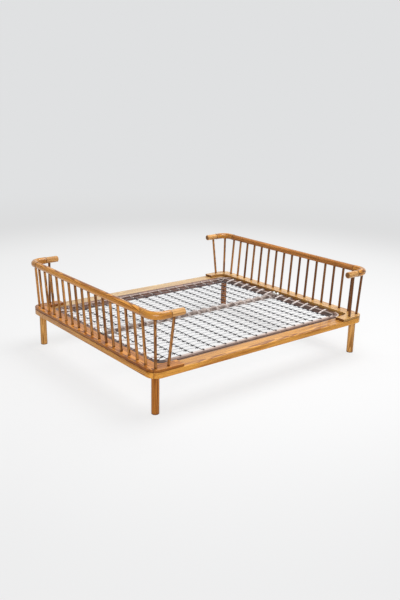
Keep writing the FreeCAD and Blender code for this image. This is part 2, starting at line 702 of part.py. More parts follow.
# Middle bar of T section, lying on the two end flanges and held by a clamp at each end
bar_half = flange_inner_x + centre_bar_lap
bar_flange = doc.addObject("Part::Box", "CentreBarFlange")
bind(bar_flange, Length=bar_half * 2, Width=centre_bar_width, Height=centre_bar_height)
place(bar_flange, -bar_half, -centre_bar_width / 2, base_top)
web_half = flange_inner_x - centre_web_play
bar_web = doc.addObject("Part::Box", "CentreBarWeb")
bind(bar_web, Length=web_half * 2, Width=steel, Height=centre_web_depth)
place(bar_web, -web_half, -steel / 2, base_top - centre_web_depth)
centre_bar = doc.addObject("Part::Fuse", "CentreBar")
centre_bar.Base, centre_bar.Tool = bar_flange, bar_web
keep("centre_bar", centre_bar)
clamp_bolts = []
for end, ex in ENDS.items():
    middle = turn(flange_inner_x + centre_bar_lap / 2, ex)
    inner, outer = centre_bar_width / 2, centre_bar_width / 2 + clamp_wall
    toe, crown = outer + clamp_foot, centre_bar_height + clamp_wall
    profile = [(-toe, zero), (-inner, zero), (-inner, centre_bar_height),
               (inner, centre_bar_height), (inner, zero), (toe, zero), (toe, clamp_wall),
               (outer, clamp_wall), (outer, crown), (-outer, crown), (-outer, clamp_wall),
               (-toe, clamp_wall)]
    clamp = new_body("Clamp_" + end)
    pad(clamp, sketch_outline(clamp, "ClampProfile_" + end, profile, "YZ_Plane"), clamp_length)
    place(clamp, middle - clamp_length / 2, zero, base_top)
    bolts = []
    for side, sy in SIDES.items():
        name = "ClampBolt_%s_%s" % (side, end)
        y = turn(outer + clamp_foot / 2, sy)
        shank = cylinder(name + "_shank", screw_radius, steel * 2 + clamp_wall,
                         (middle, y, flange_under - steel), UP)
        head = cylinder(name + "_head", screw_head_radius, screw_head_height,
                        (middle, y, base_top + clamp_wall), UP)
        bolt = doc.addObject("Part::Fuse", name)
        bolt.Base, bolt.Tool = shank, head
        bolts.append(bolt)
    keep("centre_clamp_" + end, cut("CentreClamp_" + end, clamp, bolts))
    drilled = cut("DrilledBar_" + end, parts["base_bar_" + end], bolts)
    keep("base_bar_" + end, drilled)
    clamp_bolts += bolts
keep("clamp_bolts", compound("ClampBolts", clamp_bolts))


# Wire nets: one flat face with a gap between each pair of rows and columns
def rectangle(x0, x1, y0, y1, z):
    corners = [(x0, y0), (x1, y0), (x1, y1), (x0, y1), (x0, y0)]
    return Part.makePolygon([FreeCAD.Vector(x, y, z) for x, y in corners])


for side, sy in SIDES.items():
    wall = net_wire.value / 2
    ys = sorted(sy * (net_first_row + net_pitch_y * i).value for i in range(NET_ROWS))
    xs = [x.value for x in column_xs]
    outer = rectangle(-net_half_length.value, net_half_length.value,
                      min(ys) - net_link_half.value, max(ys) + net_link_half.value,
                      net_bottom.value)
    gaps = [rectangle(a + wall, b - wall, c + wall, d - wall, net_bottom.value)
            for a, b in zip(xs, xs[1:]) for c, d in zip(ys, ys[1:])]
    net = doc.addObject("Part::Feature", "Net_" + side)
    face = Part.makeFace([outer] + gaps, "Part::FaceMakerBullseye")
    net.Shape = face.extrude(FreeCAD.Vector(0, 0, net_wire.value))
    keep("net_" + side, net)


# Coiled end springs: a straight tail, the turns, and a straight tail to the stud
def arc_pair(start, way_in, end, way_out):
    """Two arcs that leave start along way_in and reach end along way_out."""
    chord, both = end - start, way_in + way_out
    spread = 2 * (1 - way_in.dot(way_out))
    lean = chord.dot(both)
    reach = (math.sqrt(lean * lean + spread * chord.dot(chord)) - lean) / spread
    knots = [start, start + way_in * reach, None, end - way_out * reach, end]
    knots[2] = (knots[1] + knots[3]) / 2
    arcs = []
    for a, tip, b in (knots[0:3], knots[2:5]):
        half = (b - a) / 2
        middle = a + half
        rise = tip - middle
        bulge = half.Length * math.tan(math.atan2(rise.Length, half.Length) / 2)
        arcs.append(Part.Arc(a, middle + rise.normalize() * bulge, b).toShape())
    return arcs


def spring_shape():
    """An end spring along +X, from the net's edge at zero to the side of a stud's shank."""
    r, pitch, wire = coil_radius.value, coil_pitch.value, spring_wire.value
    span = (flange_inner_x + end_stud_inset - stud_radius - net_half_length).value
    first = coil_lead.value
    tail = span - first - COIL_TURNS * pitch
    steps = COIL_TURNS * 4
    slope = pitch / (2 * math.pi * r)
    points, ways = [], []
    for i in range(steps + 1):
        a = i * math.pi / 2
        points.append(FreeCAD.Vector(first + pitch * i / 4, r * math.sin(a), -r * math.cos(a)))
        ways.append(FreeCAD.Vector(slope, math.cos(a), math.sin(a)).normalize())
    coil = []
    for i in range(steps):
        coil += arc_pair(points[i], ways[i], points[i + 1], ways[i + 1])
    start, end = FreeCAD.Vector(0, 0, 0), FreeCAD.Vector(span, 0, 0)
    lead_in, lead_out = start + ALONG * (first - r), end - ALONG * (tail - r)
    edges = [Part.makeLine(start, lead_in)] + arc_pair(lead_in, ALONG, points[0], ways[0])
    edges += coil + arc_pair(points[-1], ways[-1], lead_out, ALONG)
    edges.append(Part.makeLine(lead_out, end))
    section = Part.Wire(Part.makeCircle(wire / 2, start, ALONG))
    solid = Part.Wire(edges).makePipeShell([section], True, False)
    per_arc = 6
    spread = [e.valueAt(e.FirstParameter + (e.LastParameter - e.FirstParameter) * k / per_arc)
              for e in coil for k in range(per_arc)]
    near_turn = per_arc * 6
    least = min((a - b).Length
                for i, a in enumerate(spread) for b in spread[i + near_turn:]) - wire
    return solid, least


spring, least_gap = spring_shape()
print("end spring: %d turns, least gap to itself %.2f mm, solids %d"
      % (COIL_TURNS, least_gap, len(spring.Solids)))
for end, ex in ENDS.items():
    copies = []
    for sy in SIDES.values():
        for y in spring_rows[end]:
            copy = spring.copy()
            if ex < 0:
                copy.rotate(FreeCAD.Vector(0, 0, 0), UP, 180)
            copy.translate(FreeCAD.Vector(ex * net_half_length.value, sy * y.value,
                                          net_level.value))
            copies.append(copy)
    group = doc.addObject("Part::Feature", "Springs_" + end)
    group.Shape = Part.makeCompound(copies)
    keep("end_springs_" + end, group)

# Side hooks: straight rods from the outer row of a net to the studs
for side, sy in SIDES.items():
    reach = flange_inner_y + stud_inset - stud_radius - net_outer_y
    start = net_outer_y if sy > 0 else -net_outer_y - reach
    keep("side_hooks_" + side, compound("SideHooks_" + side, [
        cylinder("Hook_%s_%d" % (side, i), hook_radius, reach, (x, start, net_level), ACROSS)
        for i, x in enumerate(column_xs)]))
    keep("hook_studs_" + side, compound("HookStuds_" + side, studs[side]))
for end in ENDS:
    keep("hook_studs_" + end, compound("HookStuds_" + end, studs[end]))

# Middle ties: short hooks from the inner row of each net, bent up to the middle bar's edge
ties = []
tie_rise = base_top - net_level + centre_bar_height / 2
for side, sy in SIDES.items():
    for i, x in enumerate(column_xs[::2]):
        name = "Tie_%s_%d" % (side, i)
        span = net_inner_y - centre_bar_width / 2
        low = doc.addObject("Part::Box", name + "_low")
        bind(low, Length=hook_radius * 2, Width=span, Height=hook_radius * 2)
        inner = centre_bar_width / 2 if sy > 0 else -net_inner_y
        place(low, x - hook_radius, inner, net_level - hook_radius)
        post = doc.addObject("Part::Box", name + "_post")
        bind(post, Length=hook_radius * 2, Width=hook_radius * 2, Height=tie_rise)
        edge = centre_bar_width / 2 if sy > 0 else -centre_bar_width / 2 - hook_radius * 2
        place(post, x - hook_radius, edge, net_level)
        whole = doc.addObject("Part::Fuse", name)
        whole.Base, whole.Tool = low, post
        ties.append(whole)
keep("centre_ties", compound("CentreTies", ties))

# Checks, then one file for each sub-part
doc.recompute()
for item in doc.Objects:
    if "Invalid" in item.State or "Error" in item.State:
        raise RuntimeError("%s (%s) did not recompute: %s" % (item.Name, item.Label, item.State))
for label, item in sorted(parts.items()):
    shape = item.Shape
    if shape.isNull() or not shape.isValid() or not shape.Solids:
        raise RuntimeError("%s has no valid solid" % label)
    box = shape.BoundBox
    print("%-26s %3d solid(s) %10.1f cm3  x %8.1f %8.1f  y %8.1f %8.1f  z %6.1f %6.1f"
          % (label, len(shape.Solids), shape.Volume / 1000, box.XMin, box.XMax, box.YMin,
             box.YMax, box.ZMin, box.ZMax))
    shape.exportStep(os.path.join("parts", label + ".step"))
print("%d sub-parts" % len(parts))
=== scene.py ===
# %% [markdown]
# A double bed, dressed for its portrait
#
# The bed is a low wooden frame on four round legs. A guard of spindles stands round each end, and
# a loose spring base of angle steel and wire nets lies between them. Its solid pieces come from a
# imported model, which this script never moves or reshapes. Here they get their finish, and the
# pieces made of bent wire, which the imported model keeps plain, are made in full.
#
# Everything is in metres. X runs along the bed towards the head, Y across it, and Z is up.

import math

import bpy
from mathutils import Matrix, Vector


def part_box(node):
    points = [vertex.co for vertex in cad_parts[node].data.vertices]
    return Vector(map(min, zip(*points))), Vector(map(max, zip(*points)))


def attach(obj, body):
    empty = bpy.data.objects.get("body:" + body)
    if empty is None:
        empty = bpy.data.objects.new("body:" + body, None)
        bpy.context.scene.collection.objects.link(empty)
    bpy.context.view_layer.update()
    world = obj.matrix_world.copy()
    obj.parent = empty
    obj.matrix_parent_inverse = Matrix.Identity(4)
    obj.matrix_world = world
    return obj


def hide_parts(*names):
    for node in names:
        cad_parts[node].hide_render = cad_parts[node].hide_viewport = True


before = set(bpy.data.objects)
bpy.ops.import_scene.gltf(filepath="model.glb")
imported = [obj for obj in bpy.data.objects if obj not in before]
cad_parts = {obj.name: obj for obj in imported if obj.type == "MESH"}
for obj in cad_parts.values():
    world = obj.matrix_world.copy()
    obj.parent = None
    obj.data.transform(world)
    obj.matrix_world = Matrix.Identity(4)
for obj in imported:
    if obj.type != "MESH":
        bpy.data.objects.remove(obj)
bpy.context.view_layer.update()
scene = bpy.context.scene
BASE_BODY = "spring_base"
SIDES, ENDS = {"near": -1, "far": 1}, {"foot": -1, "head": 1}


def both_sides(name, *end):
    """The names of a piece that the bed has on its near and its far side."""
    return ["_".join((name, side) + end) for side in SIDES]


def both_ends(name):
    return [name + "_" + end for end in ENDS]


def all_corners(name):
    return [name + "_" + side + "_" + end for side in SIDES for end in ENDS]


print("pieces in the packed bed:", len(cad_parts))

# %% [markdown]
# The camera
#
# A camera is a place, a direction and a lens. The direction could be a target to look at, but then
# every change turns the picture in two ways at once. So it is written as three turns that can be
# changed one at a time: yaw swings the view from across the bed towards its head, pitch tips it
# down and roll leans it. A portrait picture has its long side upright, and the sensor's width of
# 36 mm belongs to that long side.

# %% Place the camera
EYE = Vector((-3.3589, -4.2258, 2.0324))
YAW, PITCH, ROLL = 0.67570, 0.29077, 0.0206
LENS, SENSOR = 41.136, 36.0


def look(yaw, pitch, roll):
    """The camera's rotation from its yaw, pitch and roll."""
    level = Vector((math.sin(yaw), math.cos(yaw), 0))
    side = Vector((math.cos(yaw), -math.sin(yaw), 0))
    up = Vector((0, 0, 1))
    ahead = level * math.cos(pitch) - up * math.sin(pitch)
    tipped = up * math.cos(pitch) + level * math.sin(pitch)
    right = side * math.cos(roll) + tipped * math.sin(roll)
    top = tipped * math.cos(roll) - side * math.sin(roll)
    return Matrix((right, top, -ahead)).transposed()


camera_data = bpy.data.cameras.new("portrait")
camera_data.lens, camera_data.sensor_width = LENS, SENSOR
camera_data.clip_end = 100
camera = bpy.data.objects.new("portrait", camera_data)
camera.matrix_world = Matrix.Translation(EYE) @ look(YAW, PITCH, ROLL).to_4x4()
scene.collection.objects.link(camera)
scene.camera = camera
scene.view_settings.view_transform = "Standard"
print("camera: %.0f mm lens, %.2f m from the middle of the bed" % (LENS, EYE.length))

# %% [markdown]
# Sums in a node tree
#
# A material and a Geometry Nodes tree are both graphs, and a graph is hard to read as code, where
# each sum takes a line that adds its node and two that link it. So a small class wraps the output
# of a node and lets it take part in Python's arithmetic: each sum adds the Math node that works it
# out. Sums of numbers alone add no node, because Python has worked them out before.

# %% Let outputs take part in sums
class Socket:
    """An output of a node, which adds Math nodes when it is used in a sum."""

    def __init__(self, tree, node, key=0):
        self.tree, self.node = tree, node
        self.output = node.outputs[key] if node.outputs else None

    def out(self, key):
        return Socket(self.tree, self.node, key)

    def math(self, operation, first, second=0.0):
        return self.tree.add("ShaderNodeMath", {"operation": operation}, {0: first, 1: second})

    def __add__(self, other):
        return self.math("ADD", self, other)

    def __sub__(self, other):
        return self.math("SUBTRACT", self, other)

    def __rsub__(self, other):
        return self.math("SUBTRACT", other, self)

    def __mul__(self, other):
        return self.math("MULTIPLY", self, other)

    def __truediv__(self, other):
        return self.math("DIVIDE", self, other)

    def __mod__(self, other):
        return self.math("MODULO", self, other)

    __radd__ = __add__
    __rmul__ = __mul__

    def size(self):
        return self.math("ABSOLUTE", self)

    def floor(self):
        return self.math("FLOOR", self)

    def root(self):
        return self.math("SQRT", self)

    def least(self, other):
        return self.math("MINIMUM", self, other)

    def most(self, other):
        return self.math("MAXIMUM", self, other)

    def between(self, low, high):
        """Rises smoothly from 0 at low to 1 at high."""
        return self.tree.add("ShaderNodeMapRange", {"interpolation_type": "SMOOTHSTEP"},
                             {"Value": self, "From Min": low, "From Max": high})


# %% [markdown]
# Any other node
#
# A node has a type, settings that choose what it does, and sockets that take a value or a link. A
# function for every type of node would be long, so one method adds them all. It sets the settings
# first, because they can change which sockets there are. The few nodes that come often have a
# short method of their own.

# %% Add any other node
class Tree:
    """Adds nodes to a tree and hands back one of their outputs."""

    def __init__(self, graph):
        self.graph = graph
        graph.nodes.clear()

    def add(self, kind, settings=None, values=None, out=0):
        node = self.graph.nodes.new(kind)
        for name, value in (settings or {}).items():
            setattr(node, name, value)
        for key, value in (values or {}).items():
            if isinstance(value, Socket):
                self.graph.links.new(node.inputs[key], value.output)
            else:
                node.inputs[key].default_value = value
        return Socket(self, node, out)

    def finish(self, result):
        """Links a geometry tree's result to its output."""
        node = self.graph.nodes.new("NodeGroupOutput")
        self.graph.links.new(node.inputs[0], result.output)

    def join(self, x, y, z):
        """Three numbers as one vector."""
        return self.add("ShaderNodeCombineXYZ", None, {0: x, 1: y, 2: z})

    def vector(self, operation, values, out=0):
        return self.add("ShaderNodeVectorMath", {"operation": operation}, values, out)

    def noise(self, place, scale, detail, roughness):
        return self.add("ShaderNodeTexNoise", None, {
            "Vector": place, "Scale": scale, "Detail": detail, "Roughness": roughness})

    def mix(self, share, first, second):
        """The first colour where the share is 0, and the second where it is 1."""
        return self.add("ShaderNodeMix", {"data_type": "RGBA"}, {0: share, 6: first, 7: second},
                        out=2)


# %% [markdown]
# Colours as a screen shows them
#
# A colour is easiest to judge on a screen, where it is three numbers from 0 to 255. A shader
# counts light instead, so that twice the number is twice the light. The colours below are written
# the first way and turned into the second by the formula of the sRGB standard.

# %% Turn screen colours into light
def srgb(red, green, blue):
    """A screen colour from 0 to 255 as the linear colour that a shader takes."""
    def linear(value):
        value /= 255
        return value / 12.92 if value <= 0.04045 else ((value + 0.055) / 1.055) ** 2.4
    return (linear(red), linear(green), linear(blue), 1.0)


def new_tree(name):
    """An empty material, and the tree that its nodes go into."""
    material = bpy.data.materials.new(name)
    material.use_nodes = True
    return material, Tree(material.node_tree)


print("a screen's middle grey sends back %.2f of the light" % srgb(128, 128, 128)[0])

# %% [markdown]
# The floor
#
# The bed stands on a pale studio floor that has no visible end. A white floor under studio light
# is so bright that shadows on it are faint. Brighter lamps would give that too, but they would
# bleach the bed. So to the camera, and in reflections, the floor mostly glows by itself and only a
# small share of it is painted; the light that it throws up at the bed still comes from the paint
# alone. The glow is strongest in a wide pool round the bed, and towards its rim the floor fades
# into the world's colour.

# %% Make the floor
FLOOR_REACH = 14.0
FLOOR_COLOUR = srgb(238, 238, 239)
FLOOR_GLOW, FLOOR_SHADE = srgb(248, 248, 248), srgb(231, 231, 231)
POOL_CENTRE, POOL_INSIDE, POOL_OUTSIDE = (1.0, 1.2, 0), 2.6, 5.0
RIM_INSIDE, RIM_OUTSIDE = 3.5, FLOOR_REACH * 0.72
SKY_COLOUR = srgb(224, 225, 226)
GLOW_SHARE = 0.77


def seen_directly(tree):
    """1 for what the camera sees, also in a reflection or through glass, and 0 for other light."""
    ray = tree.add("ShaderNodeLightPath", out="Is Camera Ray")
    return ray.most(ray.out("Is Glossy Ray").most(ray.out("Is Transmission Ray")))


def make_floor():
    """A square that is painted to the light and glows to the camera."""
    mesh = bpy.data.meshes.new("floor")
    corners = [(x * FLOOR_REACH, y * FLOOR_REACH, 0)
               for x, y in ((-1, -1), (1, -1), (1, 1), (-1, 1))]
    mesh.from_pydata(corners, [], [(0, 1, 2, 3)])
    floor = bpy.data.objects.new("floor", mesh)
    scene.collection.objects.link(floor)
    material, tree = new_tree("pale_floor")
    place = tree.add("ShaderNodeTexCoord", out="Object")
    rim = tree.vector("LENGTH", {0: place}, out="Value").between(RIM_INSIDE, RIM_OUTSIDE)
    paint = tree.add("ShaderNodeBsdfDiffuse", None, {"Color": FLOOR_COLOUR})
    pool = tree.vector("DISTANCE", {0: place, 1: POOL_CENTRE}, out="Value")
    pool = pool.between(POOL_INSIDE, POOL_OUTSIDE)
    colour = tree.mix(rim, tree.mix(pool, FLOOR_GLOW, FLOOR_SHADE), SKY_COLOUR)
    glow = tree.add("ShaderNodeEmission", None, {"Color": colour})
    share = seen_directly(tree) * (rim * (1 - GLOW_SHARE) + GLOW_SHARE)
    surface = tree.add("ShaderNodeMixShader", None, {0: share, 1: paint, 2: glow})
    tree.add("ShaderNodeOutputMaterial", None, {"Surface": surface})
    mesh.materials.append(material)


make_floor()
print("floor: %.0f m across, its rim fades from %.1f to %.1f m"
      % (FLOOR_REACH * 2, RIM_INSIDE, RIM_OUTSIDE))

# %% [markdown]
# The light
#
# Small lamps or a sun would draw hard shadows of every wire, so the bed is lit as in a studio, by
# two wide soft lamps and a dim even sky. The first lamp hangs above the head end. It brightens
# everything that faces up, most of all at the head, and leaves the rounded fronts of the rails in
# their own deep colour. The second fills in from the near side, so the long side of the bed is
# lighter than its foot.

# %% Light the bed
SKY_LIGHT = 0.40


def make_world():
    """An even sky, dimmer for the bed than for the camera."""
    world = bpy.data.worlds.new("studio")
    scene.world = world
    world.use_nodes = True
    tree = Tree(world.node_tree)
    glow = tree.add("ShaderNodeBackground", None, {
        "Color": SKY_COLOUR, "Strength": seen_directly(tree) * (1 - SKY_LIGHT) + SKY_LIGHT})
    tree.add("ShaderNodeOutputWorld", None, {"Surface": glow})


def make_lamp(name, place, target, width, depth, power):
    """A flat rectangular lamp that faces a point."""
    data = bpy.data.lights.new(name, "AREA")
    data.shape, data.size, data.size_y, data.energy = "RECTANGLE", width, depth, power
    lamp = bpy.data.objects.new(name, data)
    aim = (Vector(target) - Vector(place)).to_track_quat("-Z", "Y")
    lamp.matrix_world = Matrix.Translation(place) @ aim.to_matrix().to_4x4()
    scene.collection.objects.link(lamp)
    print("lamp %s: %.1f by %.1f m, %d W" % (name, width, depth, power))


make_world()
make_lamp("overhead", place=(1.5, -0.2, 4.3), target=(0.2, 0, 0.3), width=3.4, depth=3.4, power=208)
make_lamp("near_side", place=(-4.9, -5.2, 2.9), target=(0, 0, 0.3), width=4.0, depth=3.0, power=280)

# %% [markdown]
# The grain of wood
#
# The bed is golden wood under an old clear varnish. A picture of wood wrapped round each piece
# would show the same arches on every face. Each real piece was sawn from a tree whose yearly rings
# run round a heart that lies beside the piece and wanders a little. So the rings are made the way
# the tree makes them, from the distance to that heart, and each face cuts them as the saw did: in
# straight lines on one side, in long arches on the next. Noise that is drawn out along the grain
# adds softer streaks, fine fibres and pores. Where a cut or a rounded corner crosses the grain, the
# end grain drinks more varnish and turns darker.

# %% Grow the grain
RING_SPACING, RING_WANDER = 0.0052, 15
WANDER, STREAKS, FIBRES, PORES = (1.1, 4), (1.6, 34), (8, 260), (45, 900)
MIDDLE_FIGURE, FIGURE_GAIN = 0.47, 3.6


class Wood:
    """The colours of one finish, and how strongly its grain and its varnish show."""

    def __init__(self, light, dark, end, contrast=1.4, gloss=0.42, coat=0.92, shine=0.06):
        self.light, self.dark, self.end = srgb(*light), srgb(*dark), srgb(*end)
        self.contrast, self.gloss, self.coat, self.shine = contrast, gloss, coat, shine


def object_axes(tree, key="Object"):
    """X, Y and Z of a point of the piece, or with the key Normal, of the way its surface faces."""
    return tree.add("ShaderNodeSeparateXYZ", None, {0: tree.add("ShaderNodeTexCoord", out=key)})


def grain_place(tree, way):
    """A point's place along and across the grain, and how much its surface is end grain."""
    place, facing = object_axes(tree), object_axes(tree, "Normal")
    order = {"X": "XYZ", "Y": "YXZ", "Z": "ZXY"}[way]
    along, across, depth = (place.out(axis) for axis in order)
    return along, across, depth, facing.out(order[0]).size().between(0.55, 0.98)


def wood_colour(tree, wood, along, across, depth, end, heart):
    """Rings, streaks, fibres, pores and end grain, as a colour, a roughness and a height."""
    def drawn_out(pitch, detail, roughness=0.5):
        """Noise with so many waves in a metre along the grain and across it."""
        place = tree.join(along * pitch[0], across * pitch[1], depth * pitch[1])
        return tree.noise(place, 1.0, detail, roughness)

    beside, below = across.size() - heart[0], depth.size() - heart[1]
    to_heart = (beside * beside + below * below).root()
    year = to_heart / RING_SPACING + drawn_out(WANDER, 2.0) * RING_WANDER
    late = (year % 1.0).between(0.2, 0.95)
    streak, fine = drawn_out(STREAKS, 3.0, 0.6), drawn_out(FIBRES, 3.0, 0.6)
    pores = drawn_out(PORES, 1.0).between(0.60, 0.72)
    figure = streak * 0.54 + late * 0.17 + fine * 0.26
    share = ((figure - MIDDLE_FIGURE) * (FIGURE_GAIN * wood.contrast) + 0.5).between(0.0, 1.0)
    colour = tree.mix(share, wood.light, wood.dark)
    colour = tree.mix(pores * 0.22, colour, wood.end)
    colour = tree.mix(end * 0.75, colour, wood.end)
    roughness = wood.gloss + fine * 0.12 + pores * 0.1
    height = fine * 0.5 + late * 0.2 - pores * 0.6
    return colour, roughness, height


print("a year of growth is %.1f mm of wood" % (RING_SPACING * 1000))

# %% [markdown]
# Varnish
#
# The varnish is a thin glossy coat over wood that is itself fairly matt. A plain low roughness
# would turn the whole piece to plastic, so the shine comes from the shader's coat, and most of it
# only at a grazing angle. Under it the fibres and pores lift the surface a little. They are far
# too small to show in the outline of a piece, so a bump does for them and no face is moved.

# %% Varnish the wood
GRAIN_DEPTH, BUMP_STRENGTH = 0.0004, 0.35


def varnish(tree, wood):
    """A thin coat that hardly shows from the front and shines at a grazing angle."""
    graze = tree.add("ShaderNodeLayerWeight", None, {"Blend": 0.5}, out="Facing")
    return {"Coat Weight": graze.between(0.42, 0.75) * (wood.coat - wood.shine) + wood.shine,
            "Coat IOR": 1.75, "Coat Roughness": 0.22, "Specular IOR Level": 0.12}


def finish_material(tree, colour, roughness, height, depth=GRAIN_DEPTH, **fixed):
    """Closes a material: a bump from the height, one Principled shader, and the output."""
    bump = tree.add("ShaderNodeBump", None,
                    {"Strength": BUMP_STRENGTH, "Distance": depth, "Height": height})
    shader = tree.add("ShaderNodeBsdfPrincipled", None, {
        "Base Color": colour, "Roughness": roughness, "Normal": bump, **fixed})
    tree.add("ShaderNodeOutputMaterial", None, {"Surface": shader})


# %% [markdown]
# Dirt, painted shade and a painted highlight
#
# Dirt has settled in the joints and the mitres. Painted shade darkens the gaps where the boards
# lie on the rails and where the spring base lies along the near rail, and the upright faces of
# the boards, and the legs are darker at their foot. A painted highlight runs as a pale line along
# the top arris of the side rails. These marks could be painted by hand, but then they would have
# to be painted again for every change of size. Here each mark is a plane, measured on the
# imported pieces, and the surface is darkened or bleached near it.

# %% Mark the joints, the painted shade and the painted highlight
# The joint colour darkens dirty joints and, as painted shade, the gaps between parts. The arris
# colour is a painted highlight.
JOINT_DIRT_AND_SHADE_COLOUR, ARRIS_HIGHLIGHT_COLOUR = srgb(62, 28, 6), srgb(246, 196, 120)
SEAM, ARRIS, FOOT_DARK_BAND = 0.005, 0.004, 0.012
SEAM_SHARE, MARK_SHARE = 0.85, 0.7


def near_plane(place, plane, width):
    """1 on a joint at a place along an axis, and 0 from a width away."""
    return (place.size() - plane).size().between(width, width * 0.3)


def wood_material(name, wood, way, heart, seams=(), mitre=None, edges=0.0, wear_and_highlight=None):
    """Wood with its grain along an axis.

    A seam is an axis, the place of a dark line along it and the line's width. In the joints of
    the top rails the line is dirt; where a board lies on a rail, or the spring base along the
    near rail, it is painted shade in the gap. A mitre is the difference between X and Y on a
    slanting joint. Edges darkens the upright faces as painted shade. The height given for the
    arris of a side rail gets a painted highlight, a pale line. Wood that stands upright is
    darker at its foot.
    """
    material, tree = new_tree(name)
    along, across, depth, end = grain_place(tree, way)
    colour, roughness, height = wood_colour(tree, wood, along, across, depth, end, heart)
    place, facing = object_axes(tree), object_axes(tree, "Normal")
    upright = facing.out("Z").size().between(0.8, 0.3)
    # Painted shade: the upright faces are darkened towards the end-grain colour.
    if edges:
        colour = tree.mix(upright * edges, colour, wood.end)
    # Upright wood is darker in a band at its foot.
    if way == "Z":
        foot = near_plane(place.out("Z"), 0.0, FOOT_DARK_BAND)
        colour = tree.mix(foot * MARK_SHARE, colour, wood.end)
    # Painted highlight: a pale line along the arris at the given height.
    if wear_and_highlight:
        arris = near_plane(place.out("Z"), wear_and_highlight, ARRIS) * upright
        colour = tree.mix(arris * MARK_SHARE, colour, ARRIS_HIGHLIGHT_COLOUR)
    # Dark seams: dirt in the top rails' joints, painted shade in the gaps under the boards and beside
    # the near rail.
    for axis, plane, width in seams:
        seam = near_plane(place.out(axis), plane, width)
        colour = tree.mix(seam * SEAM_SHARE, colour, JOINT_DIRT_AND_SHADE_COLOUR)
    if mitre:
        slant = (place.out("X").size() - place.out("Y").size() - mitre).size().between(0.004, 0.001)
        colour = tree.mix(slant * MARK_SHARE, colour, JOINT_DIRT_AND_SHADE_COLOUR)
    finish_material(tree, colour, roughness, height, **varnish(tree, wood))
    return material


# %% [markdown]
# The frame and its legs
#
# The frame is the most golden part of the bed, and its far side rail is painted paler, as the
# sheen that it catches. One wood for all of it would be simpler, but a frame cut from one plank
# doesn't exist. So the grain runs along the length of every piece: along X in the sides, along Y
# in the ends, and upright in the legs, of which two were turned from darker stock. Dark lines mark
# the mitres. Painted shade darkens the gap where the boards lie on the end rails and the gap
# between the near rail and the spring base, and a painted highlight runs along the top arris of
# both side rails. The dowels are hidden and pale.

# %% Dress the frame and the legs
def dress(material, *nodes):
    """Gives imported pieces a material."""
    for name in nodes:
        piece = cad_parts[name]
        piece.data.materials.clear()
        piece.data.materials.append(material)
    print(material.name, "dresses", ", ".join(nodes))


frame_wood = Wood((228, 164, 72), (150, 90, 26), (112, 58, 16), contrast=1.7)
# The far rail's paler wood is a painted sheen.
far_rail_sheen_wood = Wood((226, 190, 130), (180, 136, 80), (118, 60, 16))
dark_leg_wood = Wood((186, 118, 44), (120, 66, 18), (90, 50, 20), contrast=1.7)
pale_leg_wood = Wood((216, 162, 92), (154, 104, 50), (90, 50, 20), contrast=1.7)
dowel_wood = Wood((214, 170, 118), (180, 134, 86), (150, 104, 64), gloss=0.6, coat=0.0)

rail_low, rail_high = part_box("side_rail_far")
leg_low, leg_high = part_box("leg_far_head")
side_heart = (rail_high.y - 0.02, rail_low.z - 0.03)
end_heart = (rail_high.x - 0.06, rail_low.z - 0.04)
leg_heart = (leg_high.x + 0.01, leg_low.y - 0.02)
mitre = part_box("end_rail_head")[1].x - rail_high.y
# Both side rails get a painted highlight along their top arris.
side_joints = dict(mitre=mitre, wear_and_highlight=rail_high.z)
# Painted shade in the gap between the near rail and the spring base.
near_gap_shade_line = ("Y", rail_low.y + 0.004, 0.014)
# Painted shade in the gap where the boards lie on the end rails.
board_gap_shade_line = ("Z", rail_high.z + 0.002, SEAM)

dress(wood_material("near_rail_wood", frame_wood, "X", side_heart, seams=[near_gap_shade_line],
                    **side_joints), "side_rail_near")
dress(wood_material("far_rail_wood", far_rail_sheen_wood, "X", side_heart, **side_joints), "side_rail_far")
dress(wood_material("end_rail_wood", frame_wood, "Y", end_heart, mitre=mitre, seams=[board_gap_shade_line]),
      *both_ends("end_rail"))
dress(wood_material("dark_leg_wood", dark_leg_wood, "Z", leg_heart), "leg_near_foot", "leg_far_head")
dress(wood_material("pale_leg_wood", pale_leg_wood, "Z", leg_heart), "leg_near_head", "leg_far_foot")
dress(wood_material("dowel_wood", dowel_wood, "X", (0.8, 0.3)), "corner_dowels", "top_rail_dowels")

# %% [markdown]
# The boards and the straight top rails
#
# The two ends differ: the board at the head is painted paler, as the sheen of its varnish, and
# the top rail is darker there. The short arms of the top rails are painted the palest, as the
# highlight that they catch. The boards have painted shade in the gap under them and on their
# upright faces. The four corners are mirror images, so one place along an axis marks the same
# joint on all of them, where the absolute values of X and Y are used. A material for each corner
# would do the same with four times the nodes. The noise of the grain takes the plain values, so
# no board is the exact mirror image of another.

# %% Dress the boards and the straight top rails
foot_board_wood = Wood((214, 142, 60), (140, 78, 20), (98, 44, 8), contrast=1.7, coat=0.6)
# The head board's paler wood is a painted sheen.
head_board_sheen_wood = Wood((246, 196, 116), (184, 126, 58), (88, 42, 10))
foot_rail_wood = Wood((224, 156, 68), (142, 82, 22), (92, 58, 30), contrast=1.7, coat=0.7)
head_rail_wood = Wood((190, 126, 64), (112, 66, 24), (84, 56, 34), contrast=1.7, coat=0.5)
# The arms' paler wood is a painted highlight.
arm_highlight_wood = Wood((216, 166, 104), (158, 108, 56), (92, 58, 30), contrast=1.7)

deck_low, deck_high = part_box("end_board_head")
guard_low, guard_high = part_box("top_rail_head")
arm_end, run_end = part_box("rail_arm_far_head")[1].x, guard_high.y
below_deck, below_guard = deck_low.z - 0.05, guard_low.z - 0.05
